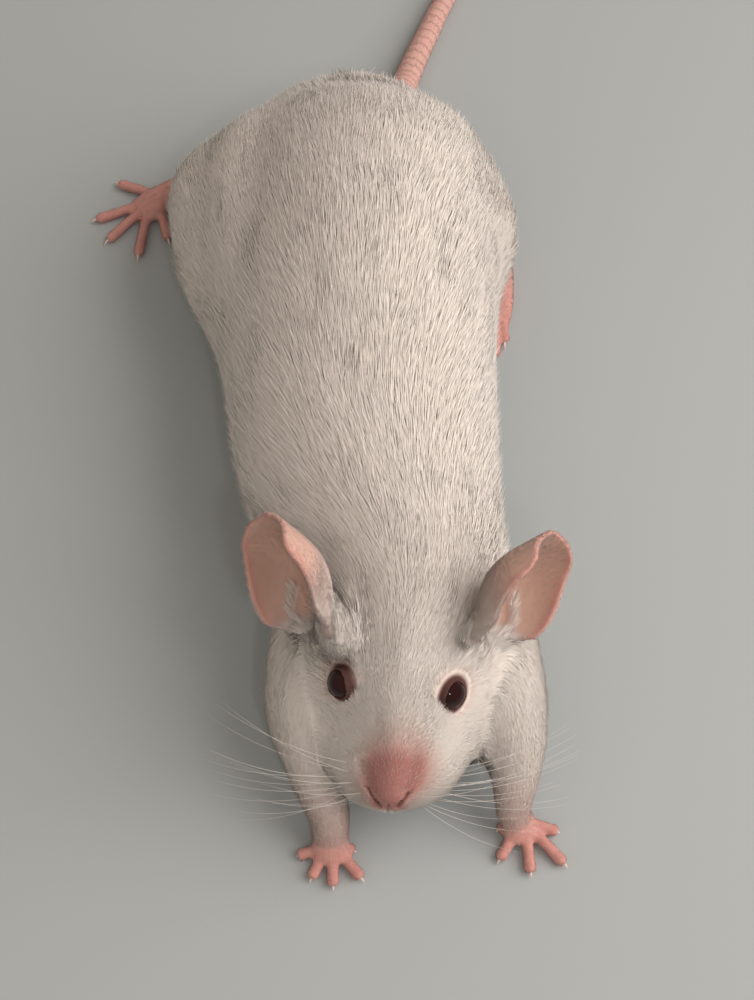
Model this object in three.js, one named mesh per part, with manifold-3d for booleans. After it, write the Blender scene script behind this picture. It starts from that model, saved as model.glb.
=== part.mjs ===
// A life-size white mouse, standing on four feet and reaching forward, as a still display model.
//
// Millimetres, +Z up. The nose points to -Y, the tail lies towards +Y and the mouse's left side is +X.
// The shapes are laid out about a layout origin under the loin, and the finished group is then moved so
// that its origin is the middle of its footprint, at floor level. Every outline is that of the coat, not
// of the skin under it.
import * as THREE from "three";
import { LoftGeometry } from "three/addons/geometries/LoftGeometry.js";
import { mergeVertices } from "three/addons/utils/BufferGeometryUtils.js";
import Module from "manifold-3d";

const wasm = await Module();
wasm.setup();

// ---------------------------------------------------------------- driving dimensions
const GAP = 0.3; // clear space left between neighbouring pieces
const FLOOR = 0; // level of the soles and of the laid tail
const BODY_SIDES = 26; // points round a body section
const LIMB_SIDES = 12; // points round a leg section
const SOLE_SIDES = 10; // points round a sole or tail section
const DIGIT_SIDES = 7; // points round a digit section
const STEEP = 0.9; // share of rise in its length past which a limb counts as upright

const EYE_RADIUS = 1.75;
const EYE_OUT = 5.5; // from the middle between the eyes to an eye's centre
const EYE_SHIFT = -0.35; // from the middle of the head's section to the middle between the eyes
const EYE_Y = -26.1;
const EYE_Z = 17.4;
const BALL_PARTS = [12, 8]; // facets round and from pole to pole

const NECK_FRONT = -15.5; // where head, neck and trunk are parted
const NECK_BACK = -9;

// A table of named rows as a list of records.
const records = (keys, rows) =>
  Object.values(rows).map((row) => Object.fromEntries(keys.map((key, i) => [key, row[i]])));

// Sections of the head and trunk from nose to tail: middle x, top, widest level and bottom in z, half
// width, how far the top is pinched in, how far the underside is filled out, and how far the section is
// turned about the vertical, as the forward shift of its left end by width.
const BODY = records(["y", "x", "top", "mid", "low", "half", "pinch", "fill", "turn"], {
  "nose tip": [-37.4, 1.2, 12.5, 11.3, 10.3, 0.9, 0, 0, 0.07],
  "nose pad": [-36.9, 1.2, 13.3, 10.8, 9.2, 2.2, 0.1, 0, 0.07],
  lips: [-35.9, 1.3, 14.2, 10, 7.9, 3.9, 0.3, 0.1, 0.07],
  "whisker pads": [-34, 1.6, 15.6, 9.7, 6.9, 6.1, 0.5, 0.2, 0.08],
  snout: [-31, 2, 17.6, 9.8, 6.1, 7.9, 0.5, 0.2, 0.09],
  eyes: [-26.5, 2.4, 20.8, 10.8, 5.6, 9.5, 0.32, 0.2, 0.11],
  cheeks: [-22, 2.9, 23.2, 11.6, 5.3, 10.4, 0.22, 0.2, 0.11],
  ears: [-18, 3.3, 24.5, 12.4, 5.2, 10.9, 0.16, 0.2, 0.08],
  nape: [-13, 2.9, 25.2, 13.2, 5, 11.7, 0.1, 0.2, -0.02],
  shoulders: [-5, 0.6, 26.3, 14, 4.6, 13.8, 0.06, 0.2, -0.18],
  ribs: [6, -1.3, 27.8, 14, 3.8, 15.5, 0.04, 0.2, -0.1],
  belly: [19, -2, 29.6, 14, 3.2, 16.3, 0.04, 0.15, -0.03],
  loin: [32, -2.2, 30.8, 14, 3.4, 16.6, 0.06, 0.1, 0],
  hips: [43, -2, 29.2, 14, 4.4, 16.2, 0.1, 0.05, 0],
  rump: [52, -2, 24.8, 14, 6.2, 15, 0.14, 0, 0],
  "tail root": [57.5, -3.2, 20, 14, 8, 12, 0.16, 0, 0],
  buttocks: [60.6, -3.4, 17.8, 14, 10, 8.8, 0.1, 0, 0],
  rear: [62.6, -2.4, 16.6, 14.2, 12, 5, 0, 0, 0],
});

// Soft swellings on the head: centre offset from its middle line, reach and height.
const SWELLS = records(["out", "y", "z", "reach", "rise"], {
  "whisker pad": [4.2, -34.6, 10.2, 2.4, 0.5],
  brow: [4.6, -26.8, 18.8, 2.6, 0.5],
  jowl: [8.6, -25, 9.5, 4, 0.6],
});

// Limbs: points along the middle line with a radius at each.
const LEGS = {
  foreleg_right: [
    { at: [-1.5, -12, 14.4], r: [8, 6.6] },
    { at: [-5.2, -19, 11.6], r: [7, 5.6] },
    { at: [-7.4, -26, 9], r: 4.9 },
    { at: [-6.6, -31.4, 6.4], r: 3.1 },
    { at: [-5.2, -35.9, 3.9], r: 2.2 },
  ],
  foreleg_left: [
    { at: [6, -12, 14.4], r: [8, 6.6] },
    { at: [11, -19, 11.4], r: [7.2, 5.4] },
    { at: [14.4, -26, 9.4], r: 4.5 },
    { at: [15.2, -31, 6.6], r: 2.9 },
    { at: [15, -34.2, 4], r: 2 },
  ],
  hindleg_right: [
    { at: [-8, 12, 14], r: [7, 8] },
    { at: [-10, 20, 13], r: [8.8, 9] },
    { at: [-11.8, 28, 12.2], r: [10.4, 9.4] },
    { at: [-13.2, 36, 11.6], r: [12.4, 9.6] },
    { at: [-14.4, 45, 10.8], r: [12.6, 9] },
    { at: [-15.4, 51, 9.8], r: [11.4, 7.6] },
    { at: [-16.8, 55, 8.6], r: [9, 5] },
    { at: [-17.6, 56.8, 8], r: [6, 3] },
  ],
  hindleg_left: [
    { at: [8, 24, 13], r: [6, 7] },
    { at: [8.6, 32, 10.8], r: [7, 7.8] },
    { at: [9, 37, 10], r: [8.5, 7.8] },
    { at: [9.3, 41, 10], r: [8.8, 7.8] },
    { at: [9, 46, 10.4], r: [7.8, 7.6] },
    { at: [8, 51, 11], r: [6.6, 6] },
    { at: [6.5, 54.6, 11.5], r: [4, 3.4] },
  ],
};

// Feet: the sole's middle line from ankle to toes with half width and half height, and each digit's root
// and tip on the floor. Digits are listed from the outer side of the foot inwards.
const FEET = {
  forepaw_right: {
    sole: [
      { at: [-5.1, -36.3, 3.2], r: [1.95, 1.6] },
      { at: [-5.1, -37.8, 1.6], r: [2.1, 1.35] },
      { at: [-5, -39.1, 0.95], r: [2.2, 1.15] },
      { at: [-4.9, -39.9, 0.8], r: [1.6, 0.95] },
    ],
    thickness: 0.74,
    digits: [
      { root: [-6.6, -38.3], tip: [-8.7, -38.8] },
      { root: [-6, -39], tip: [-7.2, -41.4] },
      { root: [-4.9, -39.3], tip: [-4.8, -42.3] },
      { root: [-3.8, -38.9], tip: [-1.7, -41.4] },
      { root: [-3.7, -37.9], tip: [-2.5, -38.3] },
    ],
  },
  forepaw_left: {
    sole: [
      { at: [15.2, -34.5, 3.2], r: [1.75, 1.6] },
      { at: [15.7, -35.5, 1.6], r: [2, 1.35] },
      { at: [16.2, -36.5, 0.95], r: [2.2, 1.15] },
      { at: [16.5, -37.3, 0.8], r: [1.6, 0.95] },
    ],
    thickness: 0.74,
    digits: [
      { root: [17.2, -35.2], tip: [20.1, -36.1] },
      { root: [17.6, -36.4], tip: [20.7, -39.8] },
      { root: [16.6, -36.9], tip: [16.9, -40.8] },
      { root: [15.2, -36.6], tip: [13.5, -39.3] },
      { root: [14.7, -35.5], tip: [13.5, -35.9] },
    ],
  },
  hindfoot_right: {
    sole: [
      { at: [-20.4, 50.6, 6.6], r: [3, 2.8] },
      { at: [-23.8, 54.6, 3.1], r: [1.9, 2] },
      { at: [-25.8, 55.4, 1.75], r: [1.8, 1.85] },
      { at: [-28.2, 54.6, 1.5], r: [1.75, 1.6] },
      { at: [-30.5, 52.9, 1.25], r: [2.3, 1.4] },
      { at: [-32.3, 51.6, 0.85], r: [2.2, 1] },
    ],
    thickness: 0.76,
    digits: [
      { root: [-30.3, 54.6], tip: [-35.7, 57] },
      { root: [-32.1, 52.8], tip: [-38.3, 50.6] },
      { root: [-32.1, 51.8], tip: [-36.4, 47] },
      { root: [-31.3, 50.9], tip: [-32.1, 44.5] },
      { root: [-29.4, 51.4], tip: [-28.2, 47.2] },
    ],
  },
  hindfoot_left: {
    sole: [
      { at: [13, 46.6, 6.4], r: [2.8, 2.8] },
      { at: [15.6, 43.8, 3], r: [1.7, 2] },
      { at: [16.5, 40.6, 1.7], r: [1.6, 1.8] },
      { at: [16.2, 36.6, 1.4], r: [1.8, 1.5] },
      { at: [15.3, 33.2, 0.9], r: [2.1, 1.05] },
    ],
    thickness: 0.76,
    digits: [
      { root: [16.4, 34.6], tip: [16.6, 30.2] },
      { root: [15.8, 33.4], tip: [15.3, 28] },
      { root: [14.9, 33], tip: [13.6, 27.2] },
      { root: [14, 33.2], tip: [11.9, 28.2] },
      { root: [13.7, 35], tip: [11.6, 31.8] },
    ],
  },
};

// Along a digit: its thickness and the height of its middle, each against the digit's own size.
const DIGIT = records(["t", "round", "lift"], {
  root: [0, 0.95, 1.25],
  knuckle: [0.35, 0.9, 1.45],
  "last joint": [0.7, 0.92, 1.1],
  pad: [0.88, 1, 1],
  "pad's end": [0.96, 0.75, 0.9],
  tip: [1, 0.35, 0.8],
});
const DIGIT_FLAT = 0.1; // how deep the floor cuts into a digit
const SHORT_DIGIT = 2; // a digit shorter than this lies straight
const SHORT_LIFT = 1.2;

// The tail's middle line and radius: it drops to the floor behind the rump and lies there in a slow bend.
const TAIL = [
  { at: [0.4, 57.6, 12.8], r: 2.9 },
  { at: [1.6, 63.2, 9.4], r: 2.35 },
  { at: [2.8, 69, 4.4], r: 2.05 },
  { at: [4.4, 75.5, 1.9], r: 1.85 },
  { at: [8, 86, 1.55], r: 1.62 },
  { at: [12.2, 98, 1.28], r: 1.36 },
  { at: [14, 111, 1.04], r: 1.12 },
  { at: [12.4, 124, 0.82], r: 0.9 },
  { at: [8.2, 135, 0.62], r: 0.7 },
  { at: [3.6, 142.6, 0.45], r: 0.52 },
];
const TAIL_CUTS = [0, 0.3, 0.64, 1]; // shares of the tail's length where its three lengths part
const TAIL_RINGS = 11; // sections along each length

// Ears: where the leaf starts, which way it grows, the way its hollow side faces, and where its stalk
// roots inside the head.
const EARS = {
  ear_right: {
    base: [-6.2, -20.1, 19.6],
    grows: [-0.333, 0.476, 0.814],
    faces: [-0.596, -0.775, 0.21],
    root: [-3.4, -18.6, 15.6],
  },
  ear_left: {
    base: [11.4, -20.3, 18.2],
    grows: [0.447, 0.403, 0.798],
    faces: [0.537, -0.835, 0.12],
    root: [8.8, -18.8, 14.6],
  },
};
const EAR_STALK = 0.9; // size of the stalk's end against the leaf's lowest row
const EAR_HEIGHT = 15;
const EAR_THICKNESS = 0.6;
const EAR_ROWS = 11;
const EAR_COLUMNS = 10;
// By share of the height: width in front of and behind the middle, and bend, which is one over the radius.
const EAR_STAGES = [0, 0.15, 0.4, 0.7, 0.9, 1];
const EAR_FRONT = [3.7, 5.8, 8.2, 7.4, 5.1, 0.2];
const EAR_BACK = [3.5, 6.6, 8, 6.3, 3.5, 0.2];
const EAR_BEND = [0.236, 0.22, 0.208, 0.205, 0.27, 0.327];
const EAR_SAG = 2.6; // how far the leaf's middle height bows back

// ---------------------------------------------------------------- materials
const finish = (color, roughness) => new THREE.MeshStandardMaterial({ color, roughness, metalness: 0 });
const COAT = finish(0xe9e2d8, 0.85);
const BARE_SKIN = finish(0xdba79c, 0.6);
const EAR_SKIN = finish(0xd6ab9b, 0.65);
const EYE = finish(0x1d0608, 0.08);

// ---------------------------------------------------------------- curves
// Value at x of a smooth curve through (xs, ys) that never overshoots its points.
function through(xs, ys, x) {
  const last = xs.length - 1;
  const steps = xs.slice(1).map((v, i) => (ys[i + 1] - ys[i]) / (v - xs[i]));
  const slopeAt = (i) => {
    if (i === 0) return steps[0];
    if (i === last) return steps[last - 1];
    const [a, b] = [steps[i - 1], steps[i]];
    return a * b <= 0 ? 0 : (2 * a * b) / (a + b);
  };
  let i = 0;
  while (i < last - 1 && x > xs[i + 1]) i++;
  const width = xs[i + 1] - xs[i];
  const t = Math.min(Math.max((x - xs[i]) / width, 0), 1);
  const [m0, m1] = [slopeAt(i) * width, slopeAt(i + 1) * width];
  const t2 = t * t;
  const t3 = t2 * t;
  const ends = ys[i] * (2 * t3 - 3 * t2 + 1) + ys[i + 1] * (3 * t2 - 2 * t3);
  return ends + m0 * (t3 - 2 * t2 + t) + m1 * (t3 - t2);
}

const column = (table, key) => table.map((row) => row[key]);

// A limb's middle line by share of its length: point(t), radius(t) as [half width, half height].
function path(points) {
  const places = points.map((p) => new THREE.Vector3(...p.at));
  const along = [0];
  places.slice(1).forEach((p, i) => along.push(along[i] + p.distanceTo(places[i])));
  const length = along[along.length - 1];
  const radii = points.map((p) => (Array.isArray(p.r) ? p.r : [p.r, p.r]));
  const read = (values, t) => through(along, values, t * length);
  return {
    length,
    point: (t) => new THREE.Vector3(...[0, 1, 2].map((k) => read(column(column(points, "at"), k), t))),
    radius: (t) => [0, 1].map((k) => read(column(radii, k), t)),
  };
}

// ---------------------------------------------------------------- solids
// A closed mesh's geometry as a solid for joining and cutting, and back.
function solid(geometry) {
  const bare = new THREE.BufferGeometry();
  bare.setAttribute("position", geometry.getAttribute("position"));
  bare.setIndex(geometry.index);
  const merged = mergeVertices(bare, 1e-4);
  return new wasm.Manifold(
    new wasm.Mesh({
      numProp: 3,
      vertProperties: merged.attributes.position.array,
      triVerts: new Uint32Array(merged.index.array),
    }),
  );
}

function geometryOf(shape) {
  const largest = shape.decompose().sort((a, b) => b.volume() - a.volume())[0];
  const mesh = largest.getMesh();
  const geometry = new THREE.BufferGeometry();
  geometry.setAttribute("position", new THREE.BufferAttribute(new Float32Array(mesh.vertProperties), 3));
  geometry.setIndex(new THREE.BufferAttribute(new Uint32Array(mesh.triVerts), 1));
  geometry.computeVertexNormals();
  return geometry;
}

// A closed body through rings of points, whichever way round the rings are listed.
function loft(rings) {
  const turn = new THREE.Vector3();
  const [ring, next] = rings;
  ring.forEach((p, i) => turn.add(p.clone().cross(ring[(i + 1) % ring.length])));
  const ahead = next.reduce((sum, p) => sum.add(p), new THREE.Vector3());
  ring.forEach((p) => ahead.sub(p));
  const ordered = turn.dot(ahead) > 0 ? rings : rings.map((r) => [...r].reverse());
  return new LoftGeometry(ordered, { capStart: true, capEnd: true });
}

const shares = (count, ease = 1) => Array.from({ length: count + 1 }, (_, i) => (i / count) ** ease);

// One section of the head or trunk at y, grown outwards by a margin.
function bodyRing(y, grow) {
  const ys = column(BODY, "y");
  const read = (key) => through(ys, column(BODY, key), y);
  const side = new THREE.Vector3(1, -read("turn"), 0).normalize();
  const middle = new THREE.Vector3(read("x"), y, read("mid"));
  const [rise, drop] = [read("top") - read("mid") + grow, read("mid") - read("low") + grow];
  return shares(BODY_SIDES)
    .slice(0, -1)
    .map((share) => {
      const angle = share * 2 * Math.PI;
      const [c, s] = [Math.cos(angle), Math.sin(angle)];
      const shaped = s > 0 ? 1 - read("pinch") * s * s : 1 + read("fill") * s * s;
      const out = side.clone().multiplyScalar((read("half") + grow) * c * shaped);
      out.z = s * (s > 0 ? rise : drop);
      const spot = middle.clone().add(out);
      return spot.addScaledVector(out.normalize(), swelling(spot, middle.x, c));
    });
}

// How far the swellings lift the coat at a spot.
function swelling(spot, middle, side) {
  return SWELLS.reduce((sum, s) => {
    const centre = new THREE.Vector3(middle + Math.sign(side) * s.out, s.y, s.z);
    return sum + s.rise * Math.exp(-spot.distanceToSquared(centre) / s.reach ** 2);
  }, 0);
}

const body = (from, to, count, ease = 1, grow = 0) =>
  loft(shares(count, ease).map((t) => bodyRing(from + (to - from) * t, grow)));

// Rings of a limb between two shares of its length: ellipses square to its line, widest to the side.
function limb(points, { from = 0, to = 1, count = 10, sides = LIMB_SIDES } = {}) {
  const line = path(points);
  const rings = shares(count).map((share) => {
    const t = from + (to - from) * share;
    const ahead = line.point(Math.min(t + 0.01, 1)).sub(line.point(Math.max(t - 0.01, 0)));
    const upright = Math.abs(ahead.z) > STEEP * ahead.length();
    const above = upright ? new THREE.Vector3(0, 1, 0) : new THREE.Vector3(0, 0, 1);
    const side = new THREE.Vector3().crossVectors(ahead, above).normalize();
    const up = new THREE.Vector3().crossVectors(side, ahead).normalize();
    const [wide, high] = line.radius(t);
    return shares(sides)
      .slice(0, -1)
      .map((turn) => {
        const angle = turn * 2 * Math.PI;
        return line
          .point(t)
          .addScaledVector(side, wide * Math.cos(angle))
          .addScaledVector(up, high * Math.sin(angle));
      });
  });
  return loft(rings);
}

// A digit from its root under the sole to its tip: it arches, swells at the end and rounds off.
function digit({ root, tip }, thickness) {
  const reach = Math.hypot(tip[0] - root[0], tip[1] - root[1]);
  const rest = thickness - DIGIT_FLAT;
  const points = DIGIT.map(({ t, round, lift }) => ({
    at: [
      root[0] + (tip[0] - root[0]) * t,
      root[1] + (tip[1] - root[1]) * t,
      rest * (reach > SHORT_DIGIT ? lift : SHORT_LIFT),
    ],
    r: thickness * round,
  }));
  return limb(points, { count: DIGIT.length - 1, sides: DIGIT_SIDES });
}

const FLOOR_SIZE = [400, 400, 20];
const FLOOR_BLOCK = new THREE.BoxGeometry(...FLOOR_SIZE).translate(0, 0, FLOOR - FLOOR_SIZE[2] / 2);
const onFloor = (shape) => shape.subtract(solid(FLOOR_BLOCK));

function foot({ sole, digits, thickness }) {
  const start = solid(limb(sole, { count: sole.length + 2, sides: SOLE_SIDES }));
  return onFloor(digits.reduce((sum, d) => sum.add(solid(digit(d, thickness))), start));
}

// The ear as a curled leaf: rows from base to tip, each a crescent whose two faces are a thickness apart.
function ear({ base, grows, faces, root }, thickness = EAR_THICKNESS) {
  const axis = new THREE.Vector3(...grows).normalize();
  const facing = new THREE.Vector3(...faces);
  facing.addScaledVector(axis, -facing.dot(axis)).normalize();
  const backward = new THREE.Vector3().crossVectors(axis, facing);
  if (backward.y < 0) backward.negate();
  const rings = shares(EAR_ROWS).map((t) => {
    const [front, back, bend] = [EAR_FRONT, EAR_BACK, EAR_BEND].map((v) => through(EAR_STAGES, v, t));
    const sag = through([0, 0.5, 1], [0, EAR_SAG, 0], t);
    const point = (turn, depth) => {
      const angle = turn * (turn < 0 ? front : back) * bend;
      const radius = 1 / bend + depth;
      return new THREE.Vector3(...base)
        .addScaledVector(axis, EAR_HEIGHT * t)
        .addScaledVector(backward, radius * Math.sin(angle))
        .addScaledVector(facing, 1 / bend - radius * Math.cos(angle) - sag);
    };
    const turns = shares(EAR_COLUMNS).map((share) => 2 * share - 1);
    const outer = turns.map((turn) => point(turn, thickness / 2));
    const inner = turns.map((turn) => point(turn, -thickness / 2)).reverse();
    return [...outer, ...inner];
  });
  const lowest = rings[0];
  const middle = new THREE.Vector3();
  lowest.forEach((p) => middle.addScaledVector(p, 1 / lowest.length));
  const start = new THREE.Vector3(...root);
  const stalk = lowest.map((p) => p.clone().sub(middle).multiplyScalar(EAR_STALK).add(start));
  return loft([stalk, lowest.map((p, i) => p.clone().lerp(stalk[i], 0.5)), ...rings]);
}

const ball = (radius, centre) => new THREE.SphereGeometry(radius, ...BALL_PARTS).translate(...centre);

// ---------------------------------------------------------------- assembly
const mouse = new THREE.Group();

function place(name, geometry, material) {
  const mesh = new THREE.Mesh(geometry, material);
  mesh.name = name;
  mouse.add(mesh);
}

const [NOSE, REAR] = [BODY[0].y, BODY[BODY.length - 1].y];
const bodyMiddle = (y) => through(column(BODY, "y"), column(BODY, "x"), y);
const eyes = { eye_right: -1, eye_left: 1 };
const headTurn = (bodyMiddle(EYE_Y + 2) - bodyMiddle(EYE_Y - 2)) / 4;
const eyeCentre = (side) => [
  bodyMiddle(EYE_Y) + EYE_SHIFT + side * EYE_OUT,
  EYE_Y - side * EYE_OUT * headTurn,
  EYE_Z,
];

const envelope = solid(body(NOSE, REAR, 44, 1, GAP));

let head = solid(body(NOSE, NECK_FRONT - GAP / 2, 16, 1.4));
for (const side of Object.values(eyes)) {
  head = head.subtract(solid(ball(EYE_RADIUS + GAP, eyeCentre(side))));
}
place("head", geometryOf(head), COAT);
place("neck", geometryOf(solid(body(NECK_FRONT + GAP / 2, NECK_BACK - GAP / 2, 4))), COAT);
place("trunk", geometryOf(solid(body(NECK_BACK + GAP / 2, REAR, 22, 0.8))), COAT);

for (const [name, side] of Object.entries(eyes)) {
  place(name, ball(EYE_RADIUS, eyeCentre(side)), EYE);
}

const roomForEars = Object.values(EARS).map((sizes) => solid(ear(sizes, EAR_THICKNESS + 2 * GAP)));
for (const [name, sizes] of Object.entries(EARS)) {
  place(name, geometryOf(solid(ear(sizes)).subtract(envelope)), EAR_SKIN);
}

const feet = {};
for (const [name, sizes] of Object.entries(FEET)) {
  feet[name] = foot(sizes);
  place(name, geometryOf(feet[name]), BARE_SKIN);
}

const grownSole = (sizes) =>
  solid(limb(sizes.sole.map(({ at, r }) => ({ at, r: r.map((v) => v + GAP) })), { count: 8 }));

for (const [name, points] of Object.entries(LEGS)) {
  const ownFoot = FEET[name.replace("foreleg", "forepaw").replace("hindleg", "hindfoot")];
  const cutters = [envelope, grownSole(ownFoot), ...roomForEars];
  const shape = cutters.reduce((left, cutter) => left.subtract(cutter), solid(limb(points)));
  place(name, geometryOf(onFloor(shape)), COAT);
}

const tailNames = ["tail_base", "tail_middle", "tail_tip"];
tailNames.forEach((name, i) => {
  const trim = i < 2 ? GAP / path(TAIL).length : 0;
  const ends = { from: TAIL_CUTS[i], to: TAIL_CUTS[i + 1] - trim };
  const length = limb(TAIL, { ...ends, count: TAIL_RINGS, sides: SOLE_SIDES });
  place(name, geometryOf(onFloor(solid(length).subtract(envelope))), BARE_SKIN);
});

// The footprint's middle becomes the origin.
const box = new THREE.Box3().setFromObject(mouse);
const centre = box.getCenter(new THREE.Vector3());
mouse.position.set(-centre.x, -centre.y, 0);

export default mouse;
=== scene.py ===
"""A life-size white mouse reaching forward on all fours, as a still display model.

One skin covers head, trunk, legs, feet, ears and tail, and tufts of coat lie over it from nose to tail.
Shapes are worked out in millimetres, in the layout that the solids share, and moved into the frame last.
"""

import bmesh
import bpy
import numpy as np
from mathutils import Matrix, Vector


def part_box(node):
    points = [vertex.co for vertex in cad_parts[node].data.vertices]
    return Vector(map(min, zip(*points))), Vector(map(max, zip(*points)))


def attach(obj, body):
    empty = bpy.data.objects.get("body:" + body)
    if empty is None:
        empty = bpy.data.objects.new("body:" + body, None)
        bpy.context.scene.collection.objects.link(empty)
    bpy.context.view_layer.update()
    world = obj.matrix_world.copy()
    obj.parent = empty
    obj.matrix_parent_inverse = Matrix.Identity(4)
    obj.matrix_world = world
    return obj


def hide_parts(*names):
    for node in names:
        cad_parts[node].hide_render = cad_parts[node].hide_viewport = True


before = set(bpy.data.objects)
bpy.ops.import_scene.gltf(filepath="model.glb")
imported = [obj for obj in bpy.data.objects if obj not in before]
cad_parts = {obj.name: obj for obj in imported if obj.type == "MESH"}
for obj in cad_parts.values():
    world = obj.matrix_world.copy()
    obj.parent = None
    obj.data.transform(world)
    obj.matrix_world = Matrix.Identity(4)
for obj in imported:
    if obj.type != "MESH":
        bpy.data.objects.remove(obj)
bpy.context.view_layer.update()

MM = 0.001
SEED = 11

# ---------------------------------------------------------------- sizes shared with the solids, in mm
# Sections from nose to tail: y, middle x, top, widest level, bottom, half width, pinch of the top,
# fullness of the underside, and turn about the vertical.
BODY = np.array([
    [-37.4, 1.2, 12.5, 11.3, 10.3, 0.9, 0, 0, 0.07],
    [-36.9, 1.2, 13.3, 10.8, 9.2, 2.2, 0.1, 0, 0.07],
    [-35.9, 1.3, 14.2, 10, 7.9, 3.9, 0.3, 0.1, 0.07],
    [-34, 1.6, 15.6, 9.7, 6.9, 6.1, 0.5, 0.2, 0.08],
    [-31, 2, 17.6, 9.8, 6.1, 7.9, 0.5, 0.2, 0.09],
    [-26.5, 2.4, 20.8, 10.8, 5.6, 9.5, 0.32, 0.2, 0.11],
    [-22, 2.9, 23.2, 11.6, 5.3, 10.4, 0.22, 0.2, 0.11],
    [-18, 3.3, 24.5, 12.4, 5.2, 10.9, 0.16, 0.2, 0.08],
    [-13, 2.9, 25.2, 13.2, 5, 11.7, 0.1, 0.2, -0.02],
    [-5, 0.6, 26.3, 14, 4.6, 13.8, 0.06, 0.2, -0.18],
    [6, -1.3, 27.8, 14, 3.8, 15.5, 0.04, 0.2, -0.1],
    [19, -2, 29.6, 14, 3.2, 16.3, 0.04, 0.15, -0.03],
    [32, -2.2, 30.8, 14, 3.4, 16.6, 0.06, 0.1, 0],
    [43, -2, 29.2, 14, 4.4, 16.2, 0.1, 0.05, 0],
    [52, -2, 24.8, 14, 6.2, 15, 0.14, 0, 0],
    [57.5, -3.2, 20, 14, 8, 12, 0.16, 0, 0],
    [60.6, -3.4, 17.8, 14, 10, 8.8, 0.1, 0, 0],
    [62.6, -2.4, 16.6, 14.2, 12, 5, 0, 0, 0],
])
# Soft swellings on the head: offset from the middle, y, z, reach and rise.
SWELLS = {
    "whisker pad": (4.2, -34.6, 10.2, 2.4, 0.5),
    "brow": (4.6, -26.8, 18.8, 2.6, 0.5),
    "jowl": (8.6, -25, 9.5, 4, 0.6),
}
# Lines of limbs: x, y, z, half width, half height.
FORELEG_RIGHT = np.array([
    [-1.5, -12, 14.4, 8, 6.6],
    [-5.2, -19, 11.6, 7, 5.6],
    [-7.4, -26, 9, 4.9, 4.9],
    [-6.6, -31.4, 6.4, 3.1, 3.1],
    [-5.2, -35.9, 3.9, 2.2, 2.2],
])
FORELEG_LEFT = np.array([
    [6, -12, 14.4, 8, 6.6],
    [11, -19, 11.4, 7.2, 5.4],
    [14.4, -26, 9.4, 4.5, 4.5],
    [15.2, -31, 6.6, 2.9, 2.9],
    [15, -34.2, 4, 2, 2],
])
HINDLEG_RIGHT = np.array([
    [-8, 12, 14, 7, 8],
    [-10, 20, 13, 8.8, 9],
    [-11.8, 28, 12.2, 10.4, 9.4],
    [-13.2, 36, 11.6, 12.4, 9.6],
    [-14.4, 45, 10.8, 12.6, 9],
    [-15.4, 51, 9.8, 11.4, 7.6],
    [-16.8, 55, 8.6, 9, 5],
    [-17.6, 56.8, 8, 6, 3],
])
HINDLEG_LEFT = np.array([
    [8, 24, 13, 6, 7],
    [8.6, 32, 10.8, 7, 7.8],
    [9, 37, 10, 8.5, 7.8],
    [9.3, 41, 10, 8.8, 7.8],
    [9, 46, 10.4, 7.8, 7.6],
    [8, 51, 11, 6.6, 6],
    [6.5, 54.6, 11.5, 4, 3.4],
])
TAIL = np.array([
    [0.4, 57.6, 12.8, 2.9, 2.9],
    [1.6, 63.2, 9.4, 2.35, 2.35],
    [2.8, 69, 4.4, 2.05, 2.05],
    [4.4, 75.5, 1.9, 1.85, 1.85],
    [8, 86, 1.55, 1.62, 1.62],
    [12.2, 98, 1.28, 1.36, 1.36],
    [14, 111, 1.04, 1.12, 1.12],
    [12.4, 124, 0.82, 0.9, 0.9],
    [8.2, 135, 0.62, 0.7, 0.7],
    [3.6, 142.6, 0.45, 0.52, 0.52],
])
# Feet: the sole's line, the digits' thickness, and each digit's root and tip on the floor.
FOREPAW_RIGHT = (
    np.array([
        [-5.1, -36.3, 3.2, 1.95, 1.6],
        [-5.1, -37.8, 1.6, 2.1, 1.35],
        [-5, -39.1, 0.95, 2.2, 1.15],
        [-4.9, -39.9, 0.8, 1.6, 0.95],
    ]),
    0.74,
    [(-6.6, -38.3, -8.7, -38.8), (-6, -39, -7.2, -41.4), (-4.9, -39.3, -4.8, -42.3),
     (-3.8, -38.9, -1.7, -41.4), (-3.7, -37.9, -2.5, -38.3)],
)
FOREPAW_LEFT = (
    np.array([
        [15.2, -34.5, 3.2, 1.75, 1.6],
        [15.7, -35.5, 1.6, 2, 1.35],
        [16.2, -36.5, 0.95, 2.2, 1.15],
        [16.5, -37.3, 0.8, 1.6, 0.95],
    ]),
    0.74,
    [(17.2, -35.2, 20.1, -36.1), (17.6, -36.4, 20.7, -39.8), (16.6, -36.9, 16.9, -40.8),
     (15.2, -36.6, 13.5, -39.3), (14.7, -35.5, 13.5, -35.9)],
)
HINDFOOT_RIGHT = (
    np.array([
        [-20.4, 50.6, 6.6, 3, 2.8],
        [-23.8, 54.6, 3.1, 1.9, 2],
        [-25.8, 55.4, 1.75, 1.8, 1.85],
        [-28.2, 54.6, 1.5, 1.75, 1.6],
        [-30.5, 52.9, 1.25, 2.3, 1.4],
        [-32.3, 51.6, 0.85, 2.2, 1],
    ]),
    0.76,
    [(-30.3, 54.6, -35.7, 57), (-32.1, 52.8, -38.3, 50.6), (-32.1, 51.8, -36.4, 47),
     (-31.3, 50.9, -32.1, 44.5), (-29.4, 51.4, -28.2, 47.2)],
)
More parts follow.
